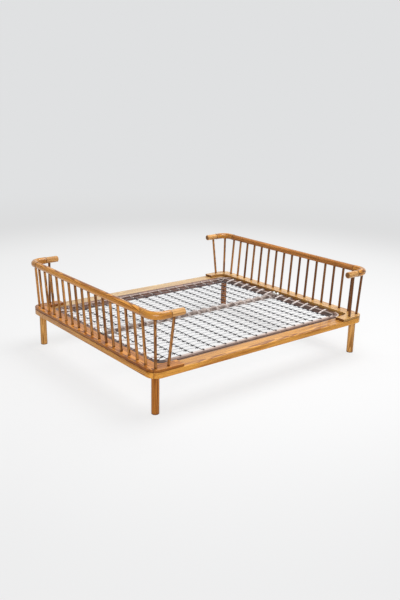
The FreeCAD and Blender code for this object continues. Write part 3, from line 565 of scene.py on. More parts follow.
# Boards: painted shade in the gap where they lie on the rails, and on their upright faces.
deck = dict(seams=[("Z", deck_low.z, SEAM)], edges=0.55,
            mitre=deck_high.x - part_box("arm_board_far_head")[1].y)
end_woods = (("foot", foot_board_wood, foot_rail_wood), ("head", head_board_sheen_wood, head_rail_wood))
for end, board, rail in end_woods:
    dress(wood_material(end + "_board_wood", board, "Y", (deck_high.x - 0.03, below_deck), **deck),
          "end_board_" + end)
    dress(wood_material(end + "_arm_board_wood", board, "X", (deck_high.y - 0.05, below_deck),
                        **deck), *both_sides("arm_board", end))
    dress(wood_material(end + "_top_rail_wood", rail, "Y", (guard_low.x, below_guard),
                        seams=[("Y", run_end, SEAM)]), "top_rail_" + end)
    dress(wood_material(end + "_rail_arm_wood", arm_highlight_wood, "X", (guard_high.y, below_guard),
                        seams=[("X", arm_end, SEAM)]), *both_sides("rail_arm", end))

# %% [markdown]
# Bent corners
#
# The bent corners are the deepest in colour, as steamed wood often is. A bent rail keeps its
# fibres unbroken, so the grain has to turn with it: straight grain cut through a bend would look
# like a block sawn to shape. The absolute values of X and Y place all four bends in one quarter.
# There the radius from the bend's centre stands for the way across the grain, and the angle,
# times the radius, for the way along it. Past the quarter, in the straight tails, both run on
# unchanged.

# %% Dress the bent corners
bend_wood = Wood((214, 146, 48), (122, 70, 14), (100, 48, 12), contrast=2.2, shine=0.4)
BEND_RADIUS = 0.080
RING_DRIFT, GRAIN_DRIFT = 0.07, 0.01


def bend_material(name, wood):
    """Wood whose grain follows the bend of a corner."""
    material, tree = new_tree(name)
    low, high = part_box("rail_bend_far_head")
    swollen = (high.z - low.z) / 2
    centre_x, centre_y = high.x - swollen - BEND_RADIUS, high.y - swollen - BEND_RADIUS
    place = object_axes(tree)
    x, y, z = place.out("X"), place.out("Y"), place.out("Z")
    u, v = x.size() - centre_x, y.size() - centre_y
    inside_u, inside_v = u.most(0.0), v.most(0.0)
    across = (inside_u * inside_u + inside_v * inside_v).root() + x * RING_DRIFT
    angle = inside_v.math("ARCTAN2", inside_v, inside_u)
    along = angle * BEND_RADIUS + v.least(0.0) - u.least(0.0) + y * GRAIN_DRIFT
    colour, roughness, height = wood_colour(tree, wood, along, across, z, 0.0,
                                            (BEND_RADIUS / 2, low.z - 0.05))
    joint = near_plane(x, arm_end, 0.004) + near_plane(y, run_end, 0.004)
    colour = tree.mix(joint * 0.8, colour, JOINT_DIRT_AND_SHADE_COLOUR)
    finish_material(tree, colour, roughness, height, **varnish(tree, wood))
    return material


dress(bend_material("bend_wood", bend_wood), *all_corners("rail_bend"))

# %% [markdown]
# Spindles, each from its own stick
#
# No two spindles are quite the same colour. Forty materials could say so, but one is enough. The
# spindles stand at an even spacing, so their place across the bed, divided by that spacing and
# rounded down, is a number that is the same all over one spindle and different on the next. A
# white noise turns that number into a shade. The spindles of the head are painted darker as
# shade, most of all towards the near side, and painted shade darkens each spindle where it enters
# the board or the rail.

# %% Dress the spindles
spindle_wood = Wood((204, 144, 78), (98, 58, 26), (74, 42, 18), contrast=1.5, coat=0.7)
SPINDLES_IN_ROW, SPINDLE_RADIUS = 16, 0.010
HEAD_SEED, SHADE_SHARE, DARKEST_HEAD_SHADE = 37, 0.35, 0.72
row_low, row_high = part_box("spindles_foot")
spindle_pitch = (row_high.y - row_low.y - SPINDLE_RADIUS * 2) / (SPINDLES_IN_ROW - 1)
spindle_heart = (-row_high.x - 0.06, 0.0)


def spindle_material(name, wood):
    """Upright wood with a shade of its own for every spindle."""
    material, tree = new_tree(name)
    along, across, depth, end = grain_place(tree, "Z")
    place = object_axes(tree)
    x, y = place.out("X"), place.out("Y")
    stick = (y / spindle_pitch + SPINDLES_IN_ROW / 2).floor()
    which_end = x.math("SIGN", x)
    shade = tree.add("ShaderNodeTexWhiteNoise", {"noise_dimensions": "1D"},
                     {"W": stick + which_end * HEAD_SEED}, out="Value")
    colour, roughness, height = wood_colour(tree, wood, along + shade * 3, across, depth, end,
                                            spindle_heart)
    # Painted shade: the head's spindles darken, most towards the near side.
    head = (which_end + 1) * (y * -0.28 + 0.30)
    colour = tree.mix(shade * SHADE_SHARE + head.least(DARKEST_HEAD_SHADE), colour, wood.dark)
    # Painted shade where each spindle enters the board or the top rail.
    socket = near_plane(along, deck_high.z, 0.014) + near_plane(along, guard_low.z, 0.016)
    colour = tree.mix(socket * 0.6, colour, wood.end)
    finish_material(tree, colour, roughness, height, **varnish(tree, wood))
    return material


dress(spindle_material("spindle_wood", spindle_wood), *both_ends("spindles"),
      *all_corners("corner_spindles"))
print("spindles stand %.1f mm apart" % (spindle_pitch * 1000))

# %% [markdown]
# Painted and bare steel
#
# The spring base is angle steel under worn brown paint: it is smooth and a little glossy, so its
# flat flange mirrors the bright room and looks much paler than its upright web. The paint has
# faded in soft patches and is rubbed through in small spots. Pale lines are painted as highlights
# along the inner edge of the flange and round the corners of the head, and on the near flange a
# wide pale band is a painted reflection of the bright room. A second material on those faces would
# end sharply at a face's edge, so one material mixes both, by noise for the patches and by the
# distance to the flange's edge for the painted highlights.

# %% Describe the metals once
flange_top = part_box("base_bar_far")[1].z
end_flange_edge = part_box("base_bar_head")[0].x
side_flange_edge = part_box("base_bar_far")[0].y
corner_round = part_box("base_corner_far_head")[1].y - side_flange_edge
corner_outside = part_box("base_corner_far_head")[1].x - (end_flange_edge - corner_round)
LIP_WIDTH, PAINT_DEPTH = 0.008, 0.0002


def painted_edge_highlights(tree, lip_width):
    """1 along the flange's inner edge and round the head corners, where a highlight is painted."""
    place = object_axes(tree)
    x, y, height = place.out("X"), place.out("Y"), place.out("Z")
    u = (x.size() - (end_flange_edge - corner_round)).most(0.0)
    v = (y.size() - (side_flange_edge - corner_round)).most(0.0)
    radius = (u * u + v * v).root()
    rim = radius.between(corner_outside - 0.014, corner_outside - 0.006) * u.between(0, 0.01)
    rim = rim * v.between(0, 0.01) * height.between(flange_top - 0.004, flange_top - 0.001)
    lip = radius.between(corner_round + lip_width, corner_round + lip_width * 0.4) * 0.7
    lip = lip * height.between(flange_top - 0.007, flange_top - 0.004)
    at_head, past_foot = x.between(0, 0.1), x.between(-0.9, -0.6)
    return rim * at_head + lip * past_foot


def metal_material(name, base, wear_and_highlight, roughness, metallic, patch, coat=0.0, edges=None,
                   lip_width=LIP_WIDTH):
    """Metal or paint with soft patches of a second colour, small rubbed spots, and pale lines
    painted along its edges as highlights.
    """
    material, tree = new_tree(name)
    place = tree.add("ShaderNodeTexCoord", out="Object")
    cloud = tree.noise(place, patch, 4.0, 0.6)
    speck = tree.noise(place, patch * 14, 2.0, 0.6)
    share = (cloud * 0.75 + speck * 0.35).between(0.42, 0.78)
    colour = tree.mix(share, srgb(*base), srgb(*wear_and_highlight))
    # Painted highlights: pale lines along the flange's edges.
    if edges:
        colour = tree.mix(painted_edge_highlights(tree, lip_width) * 0.9, colour, srgb(*edges))
    finish_material(tree, colour, roughness + share * 0.16, speck, PAINT_DEPTH,
                    **{"Metallic": metallic, "Coat Weight": coat, "Coat Roughness": 0.25})
    return material


print("flange: %.1f mm above the floor, inner corners of %.0f mm radius"
      % (flange_top * 1000, corner_round * 1000))

# %% [markdown]
# Which piece gets which steel
#
# The same function mixes all the metals, because they differ only in colour, gloss and the size of
# their patches. The ends and the corners of the spring base are painted darker as shade, the near
# corner of the foot darkest of all, and the middle bar is blotched all over. The near bar is
# painted pale along the inner half of its flange, as a reflection of the bright room. The long
# wires of the nets are zinc-coated and dull. The rings, the cross wires and the studs have
# darkened. The hooks are a lit and a shaded copy of one wire: the near hooks are painted dark as
# shade and the far hooks pale as lit. The springs and the clamps are still bright.

# %% Dress the spring base
# Pale paint for the painted highlights along the flange's edges.
EDGE_HIGHLIGHT_COLOUR = (240, 222, 212)


def painted_steel(name, base, wear_and_highlight, roughness, coat=0.0, edges=EDGE_HIGHLIGHT_COLOUR, lip_width=LIP_WIDTH):
    """Brown paint on angle steel, with wide patches where it has faded."""
    return metal_material(name, base, wear_and_highlight, roughness, 0.1, 9.0, coat, edges, lip_width)


side_steel = painted_steel("side_steel", (106, 70, 54), (150, 108, 90), 0.38, 0.25)
# The near bar's wide pale lip is a painted reflection of the bright room.
rubbed_steel = painted_steel("rubbed_steel", (92, 60, 44), (136, 102, 84), 0.38, 0.3, lip_width=0.034)
# Painted shade: the ends of the base take a darker paint.
end_steel = painted_steel("end_steel", (74, 44, 30), (116, 80, 62), 0.36, 0.4)
# Painted shade: the corners take a darker paint too.
corner_steel = painted_steel("corner_steel", (84, 52, 38), (126, 90, 72), 0.34, 0.5)
# Painted shade: the near corner of the foot is darkest.
grimy_steel = painted_steel("grimy_steel", (54, 34, 26), (88, 62, 50), 0.5, edges=None)
bar_steel = metal_material("bar_steel", (78, 56, 48), (206, 190, 180), 0.44, 0.1, 17.0, 0.15)
tie_steel = metal_material("tie_steel", (176, 162, 156), (214, 202, 196), 0.42, 0.3, 60.0)
# A shaded and a lit copy of one hook wire: dark near hooks as painted shade, pale far hooks as
# painted light.
dark_hook_steel = metal_material("dark_hook_steel", (52, 46, 48), (86, 76, 74), 0.42, 0.4, 60.0)
hook_steel = metal_material("hook_steel", (196, 182, 176), (222, 212, 206), 0.40, 0.3, 60.0)
stud_steel = metal_material("stud_steel", (58, 48, 46), (92, 78, 74), 0.42, 0.4, 60.0)
net_steel = metal_material("net_steel", (44, 42, 48), (76, 72, 78), 0.45, 0.4, 60.0)
zinc_wire = metal_material("zinc_wire", (116, 118, 124), (154, 154, 158), 0.42, 0.6, 40.0)
spring_zinc = metal_material("spring_zinc", (226, 216, 212), (242, 234, 230), 0.36, 0.3, 40.0)
clamp_steel = metal_material("clamp_steel", (238, 238, 234), (204, 202, 196), 0.22, 0.5, 40.0)
screw_steel = metal_material("screw_steel", (150, 146, 138), (112, 106, 98), 0.4, 0.9, 60.0)

dress(rubbed_steel, "base_bar_near")
dress(side_steel, "base_bar_far", *both_sides("rest_plates"))
dress(end_steel, *both_ends("base_bar"))
dress(corner_steel, *all_corners("base_corner"))
dress(grimy_steel, "base_corner_near_foot")
dress(bar_steel, "centre_bar")
dress(clamp_steel, *both_ends("centre_clamp"))
dress(screw_steel, "board_screws", "rest_plate_screws")

# %% [markdown]
# One tree for everything that repeats
#
# The nets alone hold hundreds of links. An Array modifier would copy one exactly, and a loop in
# Python would be slow and hard to change, so each kind of link is bent once and then copied by
# Geometry Nodes. The tree puts points on a grid by sums on their index: the remainder after
# dividing by the number of columns gives the column, and the quotient, rounded down, gives the
# row. A little is added before rounding, so that a whole quotient never falls to the row before.
# Each point gets a copy, turned a little at random, because no hand-hung net is perfectly even. A
# wire is a bare curve, and the tree sweeps a small round section along it before copying.

# %% Build the tree that copies a wire over a grid
ROUNDING = 0.001


class Inputs:
    """The named inputs of a Geometry Nodes tree."""

    def __init__(self, tree):
        self.tree, self.graph = tree, tree.graph
        self.node = self.graph.nodes.new("NodeGroupInput")

    def add(self, name, kind):
        self.graph.interface.new_socket(name=name, in_out="INPUT", socket_type="NodeSocket" + kind)
        return Socket(self.tree, self.node, name)


def copies_tree(name, swept):
    """A tree that copies a piece over a grid, and sweeps it first where it is a bare wire."""
    graph = bpy.data.node_groups.new(name, "GeometryNodeTree")
    tree = Tree(graph)
    inputs = Inputs(tree)
    piece = inputs.add("Piece", "Object")
    columns, rows = inputs.add("Columns", "Int"), inputs.add("Rows", "Int")
    start = inputs.add("Start", "Vector")
    column_step, row_step = inputs.add("Column Step", "Vector"), inputs.add("Row Step", "Vector")
    wobble, seed = inputs.add("Wobble", "Float"), inputs.add("Seed", "Int")
    finish = inputs.add("Finish", "Material")
    index = tree.add("GeometryNodeInputIndex")
    column = tree.vector("SCALE", {0: column_step, "Scale": index % columns})
    row = tree.vector("SCALE", {0: row_step, "Scale": (index / columns + ROUNDING).floor()})
    spot = tree.vector("ADD", {0: tree.vector("ADD", {0: column, 1: row}), 1: start})
    points = tree.add("GeometryNodePoints", None, {"Count": columns * rows, "Position": spot})
    shape = tree.add("GeometryNodeObjectInfo", None, {0: piece}, out="Geometry")
    if swept:
        thick, sides = inputs.add("Thickness", "Float"), inputs.add("Sides", "Int")
        section = tree.add("GeometryNodeCurvePrimitiveCircle", {"mode": "RADIUS"},
                           {"Resolution": sides, "Radius": thick / 2})
        shape = tree.add("GeometryNodeCurveToMesh", None,
                         {"Curve": shape, "Profile Curve": section, "Fill Caps": True})
    lean = tree.join(wobble, wobble, wobble)
    turn = tree.add("FunctionNodeRandomValue", {"data_type": "FLOAT_VECTOR"},
                    {0: tree.vector("SCALE", {0: lean, "Scale": -1.0}), 1: lean, "Seed": seed})
    copies = tree.add("GeometryNodeInstanceOnPoints", None,
                      {"Points": points, "Instance": shape, "Rotation": turn})
    solid = tree.add("GeometryNodeRealizeInstances", None, {0: copies})
    smooth = tree.add("GeometryNodeSetShadeSmooth", None, {0: solid})
    dressed = tree.add("GeometryNodeSetMaterial", None, {"Geometry": smooth, "Material": finish})
    graph.interface.new_socket(name="Geometry", in_out="OUTPUT", socket_type="NodeSocketGeometry")
    tree.finish(dressed)
    print(name, "takes", ", ".join(item.name for item in graph.interface.items_tree
                                   if item.in_out == "INPUT"))
    return graph


wires_on_grid = copies_tree("wires_on_a_grid", swept=True)
pieces_on_grid = copies_tree("pieces_on_a_grid", swept=False)

# %% [markdown]
# From a tree to a piece
#
# A modifier could stay on its object, but then every later change would run it again, and a piece
# has to be a plain mesh when it leaves. So the tree runs once on an empty holder, and the holder
# keeps the result. The copies of several patterns are then joined, because on the real bed they
# hang together, and the piece is hung on the body that carries it, while the packed pieces that
# it stands for are hidden. A pattern is removed once its copies are made.

# %% Run a tree and join what it makes
ONE_STILL_COPY = dict(columns=1, rows=1, column_step=(0, 0, 0), row_step=(0, 0, 0), wobble=0.0,
                      seed=1)


def grow(name, graph, **values):
    """Runs a tree and keeps its result as a plain mesh."""
    values = {**ONE_STILL_COPY, **values}
    holder = bpy.data.objects.new(name, bpy.data.meshes.new(name))
    scene.collection.objects.link(holder)
    modifier = holder.modifiers.new("copies", "NODES")
    modifier.node_group = graph
    for item in graph.interface.items_tree:
        key = item.name.replace(" ", "_").lower()
        if item.in_out == "INPUT" and key in values:
            modifier[item.identifier] = values[key]
    depsgraph = bpy.context.evaluated_depsgraph_get()
    mesh = bpy.data.meshes.new_from_object(holder.evaluated_get(depsgraph))
    holder.modifiers.clear()
    holder.data = mesh
    return holder


def join_pieces(name, pieces, body, slot, *nodes):
    """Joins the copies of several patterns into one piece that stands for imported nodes."""
    for piece in pieces:
        piece.select_set(False)
    whole = pieces[0]
    with bpy.context.temp_override(active_object=whole, selected_editable_objects=pieces,
                                   selected_objects=pieces):
        if len(pieces) > 1:
            bpy.ops.object.join()
    whole.name = whole.data.name = name
    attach(whole, body)
    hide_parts(*nodes)
    print(name, "triangles:", sum(len(p.vertices) - 2 for p in whole.data.polygons))


def forget(*patterns):
    """Removes patterns whose copies are made."""
    for pattern in patterns:
        data = pattern.data
        bpy.data.objects.remove(pattern)
        (bpy.data.curves if isinstance(data, bpy.types.Curve) else bpy.data.meshes).remove(data)


# %% [markdown]
# Bending wire
#
# A bent wire is a list of points on its middle line, written as straight runs and arcs. A smooth
# Bezier curve would need handles that are hard to place by sums, and at the size of a wire nobody
# sees the corners. Three kinds of bend make most wires of the bed: an arc in one of the upright
# planes or flat, a coil, and an eye, the open loop that a wire's end makes round a ring.

# %% Bend wires
EYE_RADIUS, EYE_SWEEP = 0.0042, 240


def arc(centre, radius, start, end, plane, steps=6):
    """Points on an arc in the plane of two axes, such as "XZ", with angles in degrees."""
    first, second = ("XYZ".index(axis) for axis in plane)
    points = []
    for i in range(steps + 1):
        angle = math.radians(start + (end - start) * i / steps)
        point = Vector(centre)
        point[first] += radius * math.cos(angle)
        point[second] += radius * math.sin(angle)
        points.append(point)
    return points


def first_eye(centre, plane, radius=EYE_RADIUS):
    """The eye that a wire begins with. The wire leaves it at the top."""
    return arc(centre, radius, 90 + EYE_SWEEP, 90, plane)


def last_eye(centre, plane, radius=EYE_RADIUS):
    """The eye that a wire ends with. The wire enters it at the top."""
    return arc(centre, radius, 90, 90 - EYE_SWEEP, plane)


def coil(start, axis, radius, pitch, turns, steps=9):
    """Points on a coil that begins at start and runs along X or Y."""
    along = "XYZ".index(axis)
    side = 1 - along
    points = []
    for i in range(turns * steps + 1):
        angle = 2 * math.pi * i / steps
        point = Vector(start)
        point[along] += pitch * i / steps
        point[side] += radius * math.sin(angle)
        point[2] -= radius * math.cos(angle)
        points.append(point)
    return points


def wire(name, points, closed=False):
    """A bare curve through the points, as a pattern for the tree."""
    data = bpy.data.curves.new(name, "CURVE")
    data.dimensions = "3D"
    spline = data.splines.new("POLY")
    spline.points.add(len(points) - 1)
    for knot, point in zip(spline.points, points):
        knot.co = (*point, 1)
    spline.use_cyclic_u = closed
    pattern = bpy.data.objects.new(name, data)
    scene.collection.objects.link(pattern)
    return pattern


# %% [markdown]
# The wire nets
#
# Each net is a mesh of small links. A flat oval ring lies at every crossing. Along the bed a
# straight wire joins each ring to the next, and across it a shorter and thicker one does, each
# with its ends bent round the ring's wire into eyes. A picture of a net on a flat sheet would look
# flat from the side, where the eyes and rings stand out, so every link is real. The two nets are
# mirror images about the middle bar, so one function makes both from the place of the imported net.

# %% Hang the nets
NET_COLUMNS, NET_ROWS = 17, 12
LINK_HALF = 0.013
RING_HALF_WIDTH = 0.0056
RING_WIRE, LONG_WIRE, CROSS_WIRE = 0.0030, 0.0031, 0.0050
net_low, net_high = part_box("net_far")
net_level = (net_low.z + net_high.z) / 2
column_pitch = (net_high.x - net_low.x - LINK_HALF * 2) / (NET_COLUMNS - 1)
row_pitch = (net_high.y - net_low.y - LINK_HALF * 2) / (NET_ROWS - 1)
first_row = net_low.y + LINK_HALF
first_column = net_low.x + LINK_HALF
WIRE_WOBBLE = math.radians(1.6)


def oval(half_length, half_width, steps=14):
    """Points on a flat ring that is long along the bed."""
    return [(half_length * math.cos(2 * math.pi * i / steps),
             half_width * math.sin(2 * math.pi * i / steps), 0) for i in range(steps)]


def link_between(plane, gap):
    """A straight wire with an eye at each end, centred on the middle of its gap."""
    half = Vector((gap / 2, 0, 0) if plane[0] == "X" else (0, gap / 2, 0))
    return first_eye(-half, plane) + last_eye(half, plane)


def make_net(side, sign):
    """The rings and wires of one side's net."""
    ring = wire("ring", oval(LINK_HALF, RING_HALF_WIDTH), closed=True)
    long_link = wire("long_link", link_between("XZ", column_pitch - LINK_HALF * 2))
    cross_link = wire("cross_link", link_between("YZ", row_pitch - RING_HALF_WIDTH * 2))
    common = dict(column_step=(column_pitch, 0, 0), row_step=(0, sign * row_pitch, 0),
                  wobble=WIRE_WOBBLE, sides=5)
    y = sign * first_row
    between_columns = (first_column + column_pitch / 2, y, net_level)
    between_rows = (first_column, y + sign * row_pitch / 2, net_level)
    pieces = [
        grow("rings", wires_on_grid, piece=ring, columns=NET_COLUMNS, rows=NET_ROWS,
             start=(first_column, y, net_level), thickness=RING_WIRE, seed=3, finish=net_steel,
             **common),
        grow("long_links", wires_on_grid, piece=long_link, columns=NET_COLUMNS - 1, rows=NET_ROWS,
             start=between_columns, thickness=LONG_WIRE, seed=5, finish=zinc_wire, **common),
        grow("cross_links", wires_on_grid, piece=cross_link, columns=NET_COLUMNS,
             rows=NET_ROWS - 1, start=between_rows, thickness=CROSS_WIRE, seed=7,
             finish=net_steel, **common)]
    join_pieces("wire_net_" + side, pieces, BASE_BODY, "net_wire", "net_" + side)
    forget(ring, long_link, cross_link)


for side, sign in SIDES.items():
    make_net(side, sign)
print("rings stand %.1f mm apart along the bed and %.1f mm across it"
      % (column_pitch * 1000, row_pitch * 1000))

# %% [markdown]
# Coiled springs at the two ends
#
# A tension spring pulls every second row of the net towards the end of the base. It is a long
# close coil. Its inner end is a hook round the last ring, and its outer end closes round the neck
# of a stud. The stud stands on the flange, so the coil climbs over the flange's inner edge and
# lies on top of it. A screw modifier makes only a straight coil, so the coil is written as points,
# and each point is lifted by how far it has come. The springs of the head sit between the rows
# that the springs of the foot pull.

# %% Coil the end springs
SPRING_WIRE, COIL_RADIUS, COIL_TURNS, COIL_PITCH = 0.0030, 0.0050, 23, 0.0036
SPRING_LEAD, FLANGE_CLEARANCE, PLAY = 0.0080, 0.006, 0.0003
STUD_NECK, STUD_HEAD, STUD_DOME, HEAD_SEAT = 0.0030, 0.0065, 0.0026, 0.0056
stud_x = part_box("hook_studs_head")[1].x - STUD_HEAD
net_end = column_pitch * (NET_COLUMNS - 1) / 2 + LINK_HALF


def pulled_row(end):
    """The first row that an end's springs pull: the second one at the foot."""
    return first_row + row_pitch * (1 if end == "foot" else 0)


def spring_points(span):
    """A spring along +X from a ring's end at zero to a stud at span."""
    lift = flange_top - net_level + SPRING_WIRE / 2 + PLAY
    top = lift + COIL_RADIUS
    climb = end_flange_edge - net_end - FLANGE_CLEARANCE - SPRING_LEAD
    hook = [Vector((0.002, 0, 0.003)), Vector((-0.004, 0, 0.001)), Vector((-0.003, 0, -0.003)),
            Vector((0.004, 0, -0.004)), Vector((SPRING_LEAD - 0.002, 0, -0.003))]
    turns = coil((SPRING_LEAD, 0, 0), "X", COIL_RADIUS, COIL_PITCH, COIL_TURNS)
    turns = [p + Vector((0, 0, top * min(1, (p.x - SPRING_LEAD) / climb))) for p in turns]
    loop = arc((span, 0, lift), STUD_NECK + SPRING_WIRE / 2 + PLAY, 180, -130, "XY", 8)
    return hook + turns + loop


def make_springs(end, sign):
    """The springs of one end, on both nets."""
    points = spring_points(stud_x - net_end)
    if sign < 0:
        points = [Vector((-p.x, -p.y, p.z)) for p in points]
    pattern = wire("spring", points)
    pieces = [grow("springs", wires_on_grid, piece=pattern, rows=NET_ROWS // 2,
                   start=(sign * net_end, way * pulled_row(end), net_level),
                   row_step=(0, way * row_pitch * 2, 0), wobble=WIRE_WOBBLE / 2, seed=11,
                   finish=spring_zinc, thickness=SPRING_WIRE, sides=6) for way in SIDES.values()]
    join_pieces("springs_" + end, pieces, BASE_BODY, "spring_steel", "end_springs_" + end)
    forget(pattern)


for end, sign in ENDS.items():
    make_springs(end, sign)

# %% [markdown]
# Studs for the hooks and springs
#
# Every hook and every spring ends round the neck of a stud with a domed head, riveted through the
# flange. A cylinder with a flattened sphere on it would do from afar, but the two would only touch.
# A stud is turned on a lathe, so it is made like that too: its profile is spun round the upright
# axis. One stud is the pattern for all, and the tree copies it like a wire.

# %% Turn a stud
stud_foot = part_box("hook_studs_far")[0].z


def lathe(name, profile, steps=14):
    """Spins a profile of (radius, height) pairs round the upright axis."""
    vertices, faces = [], []
    for radius, height in profile:
        for i in range(steps):
            angle = 2 * math.pi * i / steps
            vertices.append((radius * math.cos(angle), radius * math.sin(angle), height))
    for ring in range(len(profile) - 1):
        for i in range(steps):
            a, b = ring * steps + i, ring * steps + (i + 1) % steps
            faces.append((a, b, b + steps, a + steps))
    faces.append(tuple(reversed(range(steps))))
    faces.append(tuple(range(len(vertices) - steps, len(vertices))))
    mesh = bpy.data.meshes.new(name)
    mesh.from_pydata(vertices, [], faces)
    pattern = bpy.data.objects.new(name, mesh)
    scene.collection.objects.link(pattern)
    return pattern


def dome(rise, radius, steps=4):
    """The profile of a dome, which ends in a tiny flat instead of a point."""
    angles = [math.pi / 2 * i / steps for i in range(steps + 1)]
    return [(radius * math.cos(angle) + 0.0002, rise * math.sin(angle)) for angle in angles]


stud_profile = [(STUD_NECK, stud_foot - flange_top), (STUD_NECK, HEAD_SEAT)]
stud_profile += [(r, HEAD_SEAT + z) for r, z in dome(STUD_DOME, STUD_HEAD)]
stud_common = dict(piece=lathe("stud", stud_profile), finish=stud_steel)
print("a stud has %d faces" % len(stud_common["piece"].data.polygons))

# %% [markdown]
# Hooks along the sides
#
# Along each side a thick hook holds every column of the net. Its inner end closes round the last
# ring, and its outer end climbs over the flange and lies round the neck of a stud. One more hook
# slants from the last ring of each net into each bent corner. It is the same hook, only longer and
# turned, so one function bends both, and the slanting one is turned point by point. A turned
# object would do as well, but a finished piece keeps its place in its mesh.

# %% Bend the side hooks and set their studs
HOOK_WIRE, HOOK_EYE, HOOK_PLAY = 0.0052, EYE_RADIUS + 0.0008, 0.0002
CORNER_STUD = 0.0585
stud_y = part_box("hook_studs_far")[1].y - STUD_HEAD
last_row = first_row + row_pitch * (NET_ROWS - 1)
corner_x = end_flange_edge - corner_round + CORNER_STUD * math.cos(math.pi / 4)
corner_y = side_flange_edge - corner_round + CORNER_STUD * math.sin(math.pi / 4)


def hook_points(reach, ring_edge, flange_edge):
    """A hook along +Y, from the edge of a ring to the neck of a stud at reach."""
    lift = flange_top - net_level + HOOK_WIRE / 2 + HOOK_PLAY
    rise = [Vector((0, flange_edge - 0.014, 0.0030)), Vector((0, flange_edge - 0.002, lift))]
    loop = arc((0, reach, lift), STUD_NECK + HOOK_WIRE / 2, 200, 480, "XY", 9)
    return first_eye((0, ring_edge, 0), "YZ", HOOK_EYE) + rise + loop


def make_hooks(side, sign, finish):
    """The straight hooks of one side, and the two that slant into its corners."""
    common = dict(thickness=HOOK_WIRE, sides=6, finish=finish)
    straight = hook_points(stud_y, last_row + RING_HALF_WIDTH, side_flange_edge)
    pattern = wire("side_hook", [Vector((p.x, sign * p.y, p.z)) for p in straight])
    hooks = [grow("hooks", wires_on_grid, piece=pattern, columns=NET_COLUMNS,
                  start=(first_column, 0, net_level), column_step=(column_pitch, 0, 0), **common)]
    forget(pattern)
    span = Vector((corner_x + first_column, corner_y - last_row, 0))
    slanting = hook_points(span.length, LINK_HALF, span.length - CORNER_STUD + corner_round)
    for way in ENDS.values():
        turned = [span.normalized() * p.y + Vector((span.y, -span.x, 0)).normalized() * p.x
                  + Vector((-first_column, last_row, p.z)) for p in slanting]
        pattern = wire("corner_hook", [Vector((way * p.x, sign * p.y, p.z)) for p in turned])
        hooks.append(grow("hooks", wires_on_grid, piece=pattern, start=(0, 0, net_level), **common))
        forget(pattern)
    join_pieces("side_hooks_bent_" + side, hooks, BASE_BODY, "stud_steel", "side_hooks_" + side)


def make_side_studs(side, sign):
    """The studs in a row along one side, and the two in its corners."""
    rows = ((NET_COLUMNS, first_column, stud_y, column_pitch), (2, -corner_x, corner_y, corner_x * 2))
    studs = [grow("studs", pieces_on_grid, columns=columns, start=(x, sign * y, flange_top),
                  column_step=(step, 0, 0), **stud_common) for columns, x, y, step in rows]
    join_pieces("domed_studs_" + side, studs, BASE_BODY, "stud_steel", "hook_studs_" + side)


# The near hooks are painted dark as shade, the far hooks pale as lit.
for (side, sign), finish in zip(SIDES.items(), (dark_hook_steel, hook_steel)):
    make_hooks(side, sign, finish)
    make_side_studs(side, sign)

# %% [markdown]
# Studs for the end springs
#
# The studs of the end springs stand wherever a spring ends. Their places could be read from the
# springs' mesh, but the sum that placed the springs gives them at once, so both always agree.

# %% Set the studs of the end springs
for end, sign in ENDS.items():
    studs = [grow("studs", pieces_on_grid, rows=NET_ROWS // 2,
                  start=(sign * stud_x, way * pulled_row(end), flange_top),
                  row_step=(0, way * row_pitch * 2, 0), **stud_common) for way in SIDES.values()]
    join_pieces("domed_studs_" + end, studs, BASE_BODY, "stud_steel", "hook_studs_" + end)
forget(stud_common["piece"])

# %% [markdown]
# Ties along the middle bar
#
# The inner row of each net hangs on the middle bar by short springs. Each closes round a ring,
# climbs as a coil to the edge of the bar and ends there in a bright loop that lies over the bar.
# From a step away they read as a row of knots along both edges of the bar. The coil and the loop
# could be one wire, but they are two here, because the loop is rubbed brighter than the coil.

# %% Hang the nets on the middle bar
TIE_WIRE, TIE_COIL = 0.0036, 0.0100
TIE_TURNS, TIE_PITCH, TIE_CLIMB = 5, 0.0050, 0.0065
LOOP_HALF, LOOP_END = 0.0050, 0.004
bar_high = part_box("centre_bar")[1]
tie_start = bar_high.y + TIE_WIRE / 2 + 0.0030


def tie_coil_points():
    """The coil of a tie along +Y, which comes down from the bar to the first ring."""
    turns = coil((0, tie_start, 0), "Y", TIE_COIL, TIE_PITCH, TIE_TURNS)
    length = TIE_PITCH * TIE_TURNS
    turns = [p + Vector((0, 0, TIE_CLIMB * (1 - (p.y - tie_start) / length))) for p in turns]
    return turns + last_eye((0, first_row - RING_HALF_WIDTH, 0), "YZ")


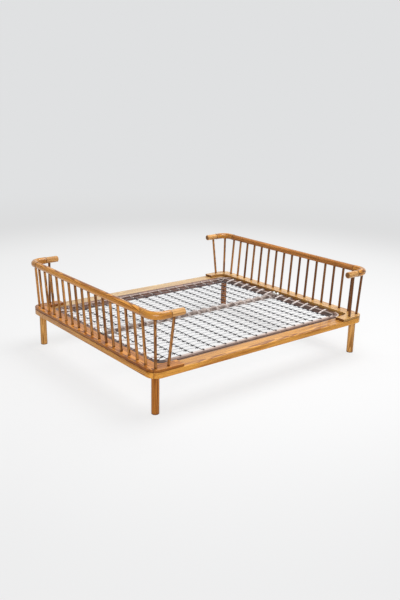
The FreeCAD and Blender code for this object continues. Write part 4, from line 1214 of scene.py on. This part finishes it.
def tie_loop_points():
    """The bright loop of a tie, out over the bar, through the coil and back."""
    rise = bar_high.z - net_level + TIE_WIRE / 2 + PLAY
    out = [Vector((LOOP_HALF, -LOOP_END, rise)), Vector((LOOP_HALF, bar_high.y + 0.001, rise)),
           Vector((LOOP_HALF * 0.6, tie_start + TIE_PITCH * 2, TIE_CLIMB))]
    return out + [Vector((-p.x, p.y, p.z)) for p in reversed(out)]


pieces = []
for sign in SIDES.values():
    for points, finish in ((tie_coil_points(), tie_steel), (tie_loop_points(), spring_zinc)):
        pattern = wire("tie", [Vector((p.x, sign * p.y, p.z)) for p in points])
        pieces.append(grow("ties", wires_on_grid, piece=pattern, columns=NET_COLUMNS,
                           start=(first_column, 0, net_level), column_step=(column_pitch, 0, 0),
                           finish=finish, thickness=TIE_WIRE, sides=6))
        forget(pattern)
join_pieces("bar_ties", pieces, BASE_BODY, "stud_steel", "centre_ties")

# %% [markdown]
# Nuts on the clamps
#
# Two bolts hold each clamp down on the end of the middle bar. They end in tall domed nuts of
# bright metal. They are round, so the lathe that turned the studs turns them too, and four copies
# on a grid of two by two make all of them.

# %% Screw down the clamps
clamp_low, clamp_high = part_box("centre_clamp_head")
bolt_x = (clamp_low.x + clamp_high.x) / 2
bolt_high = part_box("clamp_bolts")[1]
bolt_y = bolt_high.y - (bolt_high.x - bolt_x)
SHANK_RADIUS, SHANK_LENGTH, SKIRT, NUT_RISE = 0.004, 0.012, 0.003, 0.011
nut_radius = (clamp_high.x - clamp_low.x) * 0.72
nut_profile = [(SHANK_RADIUS, -SHANK_LENGTH), (SHANK_RADIUS, 0.0), (nut_radius, 0.0),
               (nut_radius, SKIRT)]
nut_profile += [(r, SKIRT + z) for r, z in dome(NUT_RISE, nut_radius * 0.8)]
nut = lathe("nut", nut_profile)
nuts = grow("nuts", pieces_on_grid, piece=nut, columns=2, rows=2,
            start=(-bolt_x, -bolt_y, clamp_high.z), column_step=(bolt_x * 2, 0, 0),
            row_step=(0, bolt_y * 2, 0), finish=clamp_steel)
join_pieces("clamp_nuts", [nuts], BASE_BODY, "stud_steel", "clamp_bolts")
forget(nut)
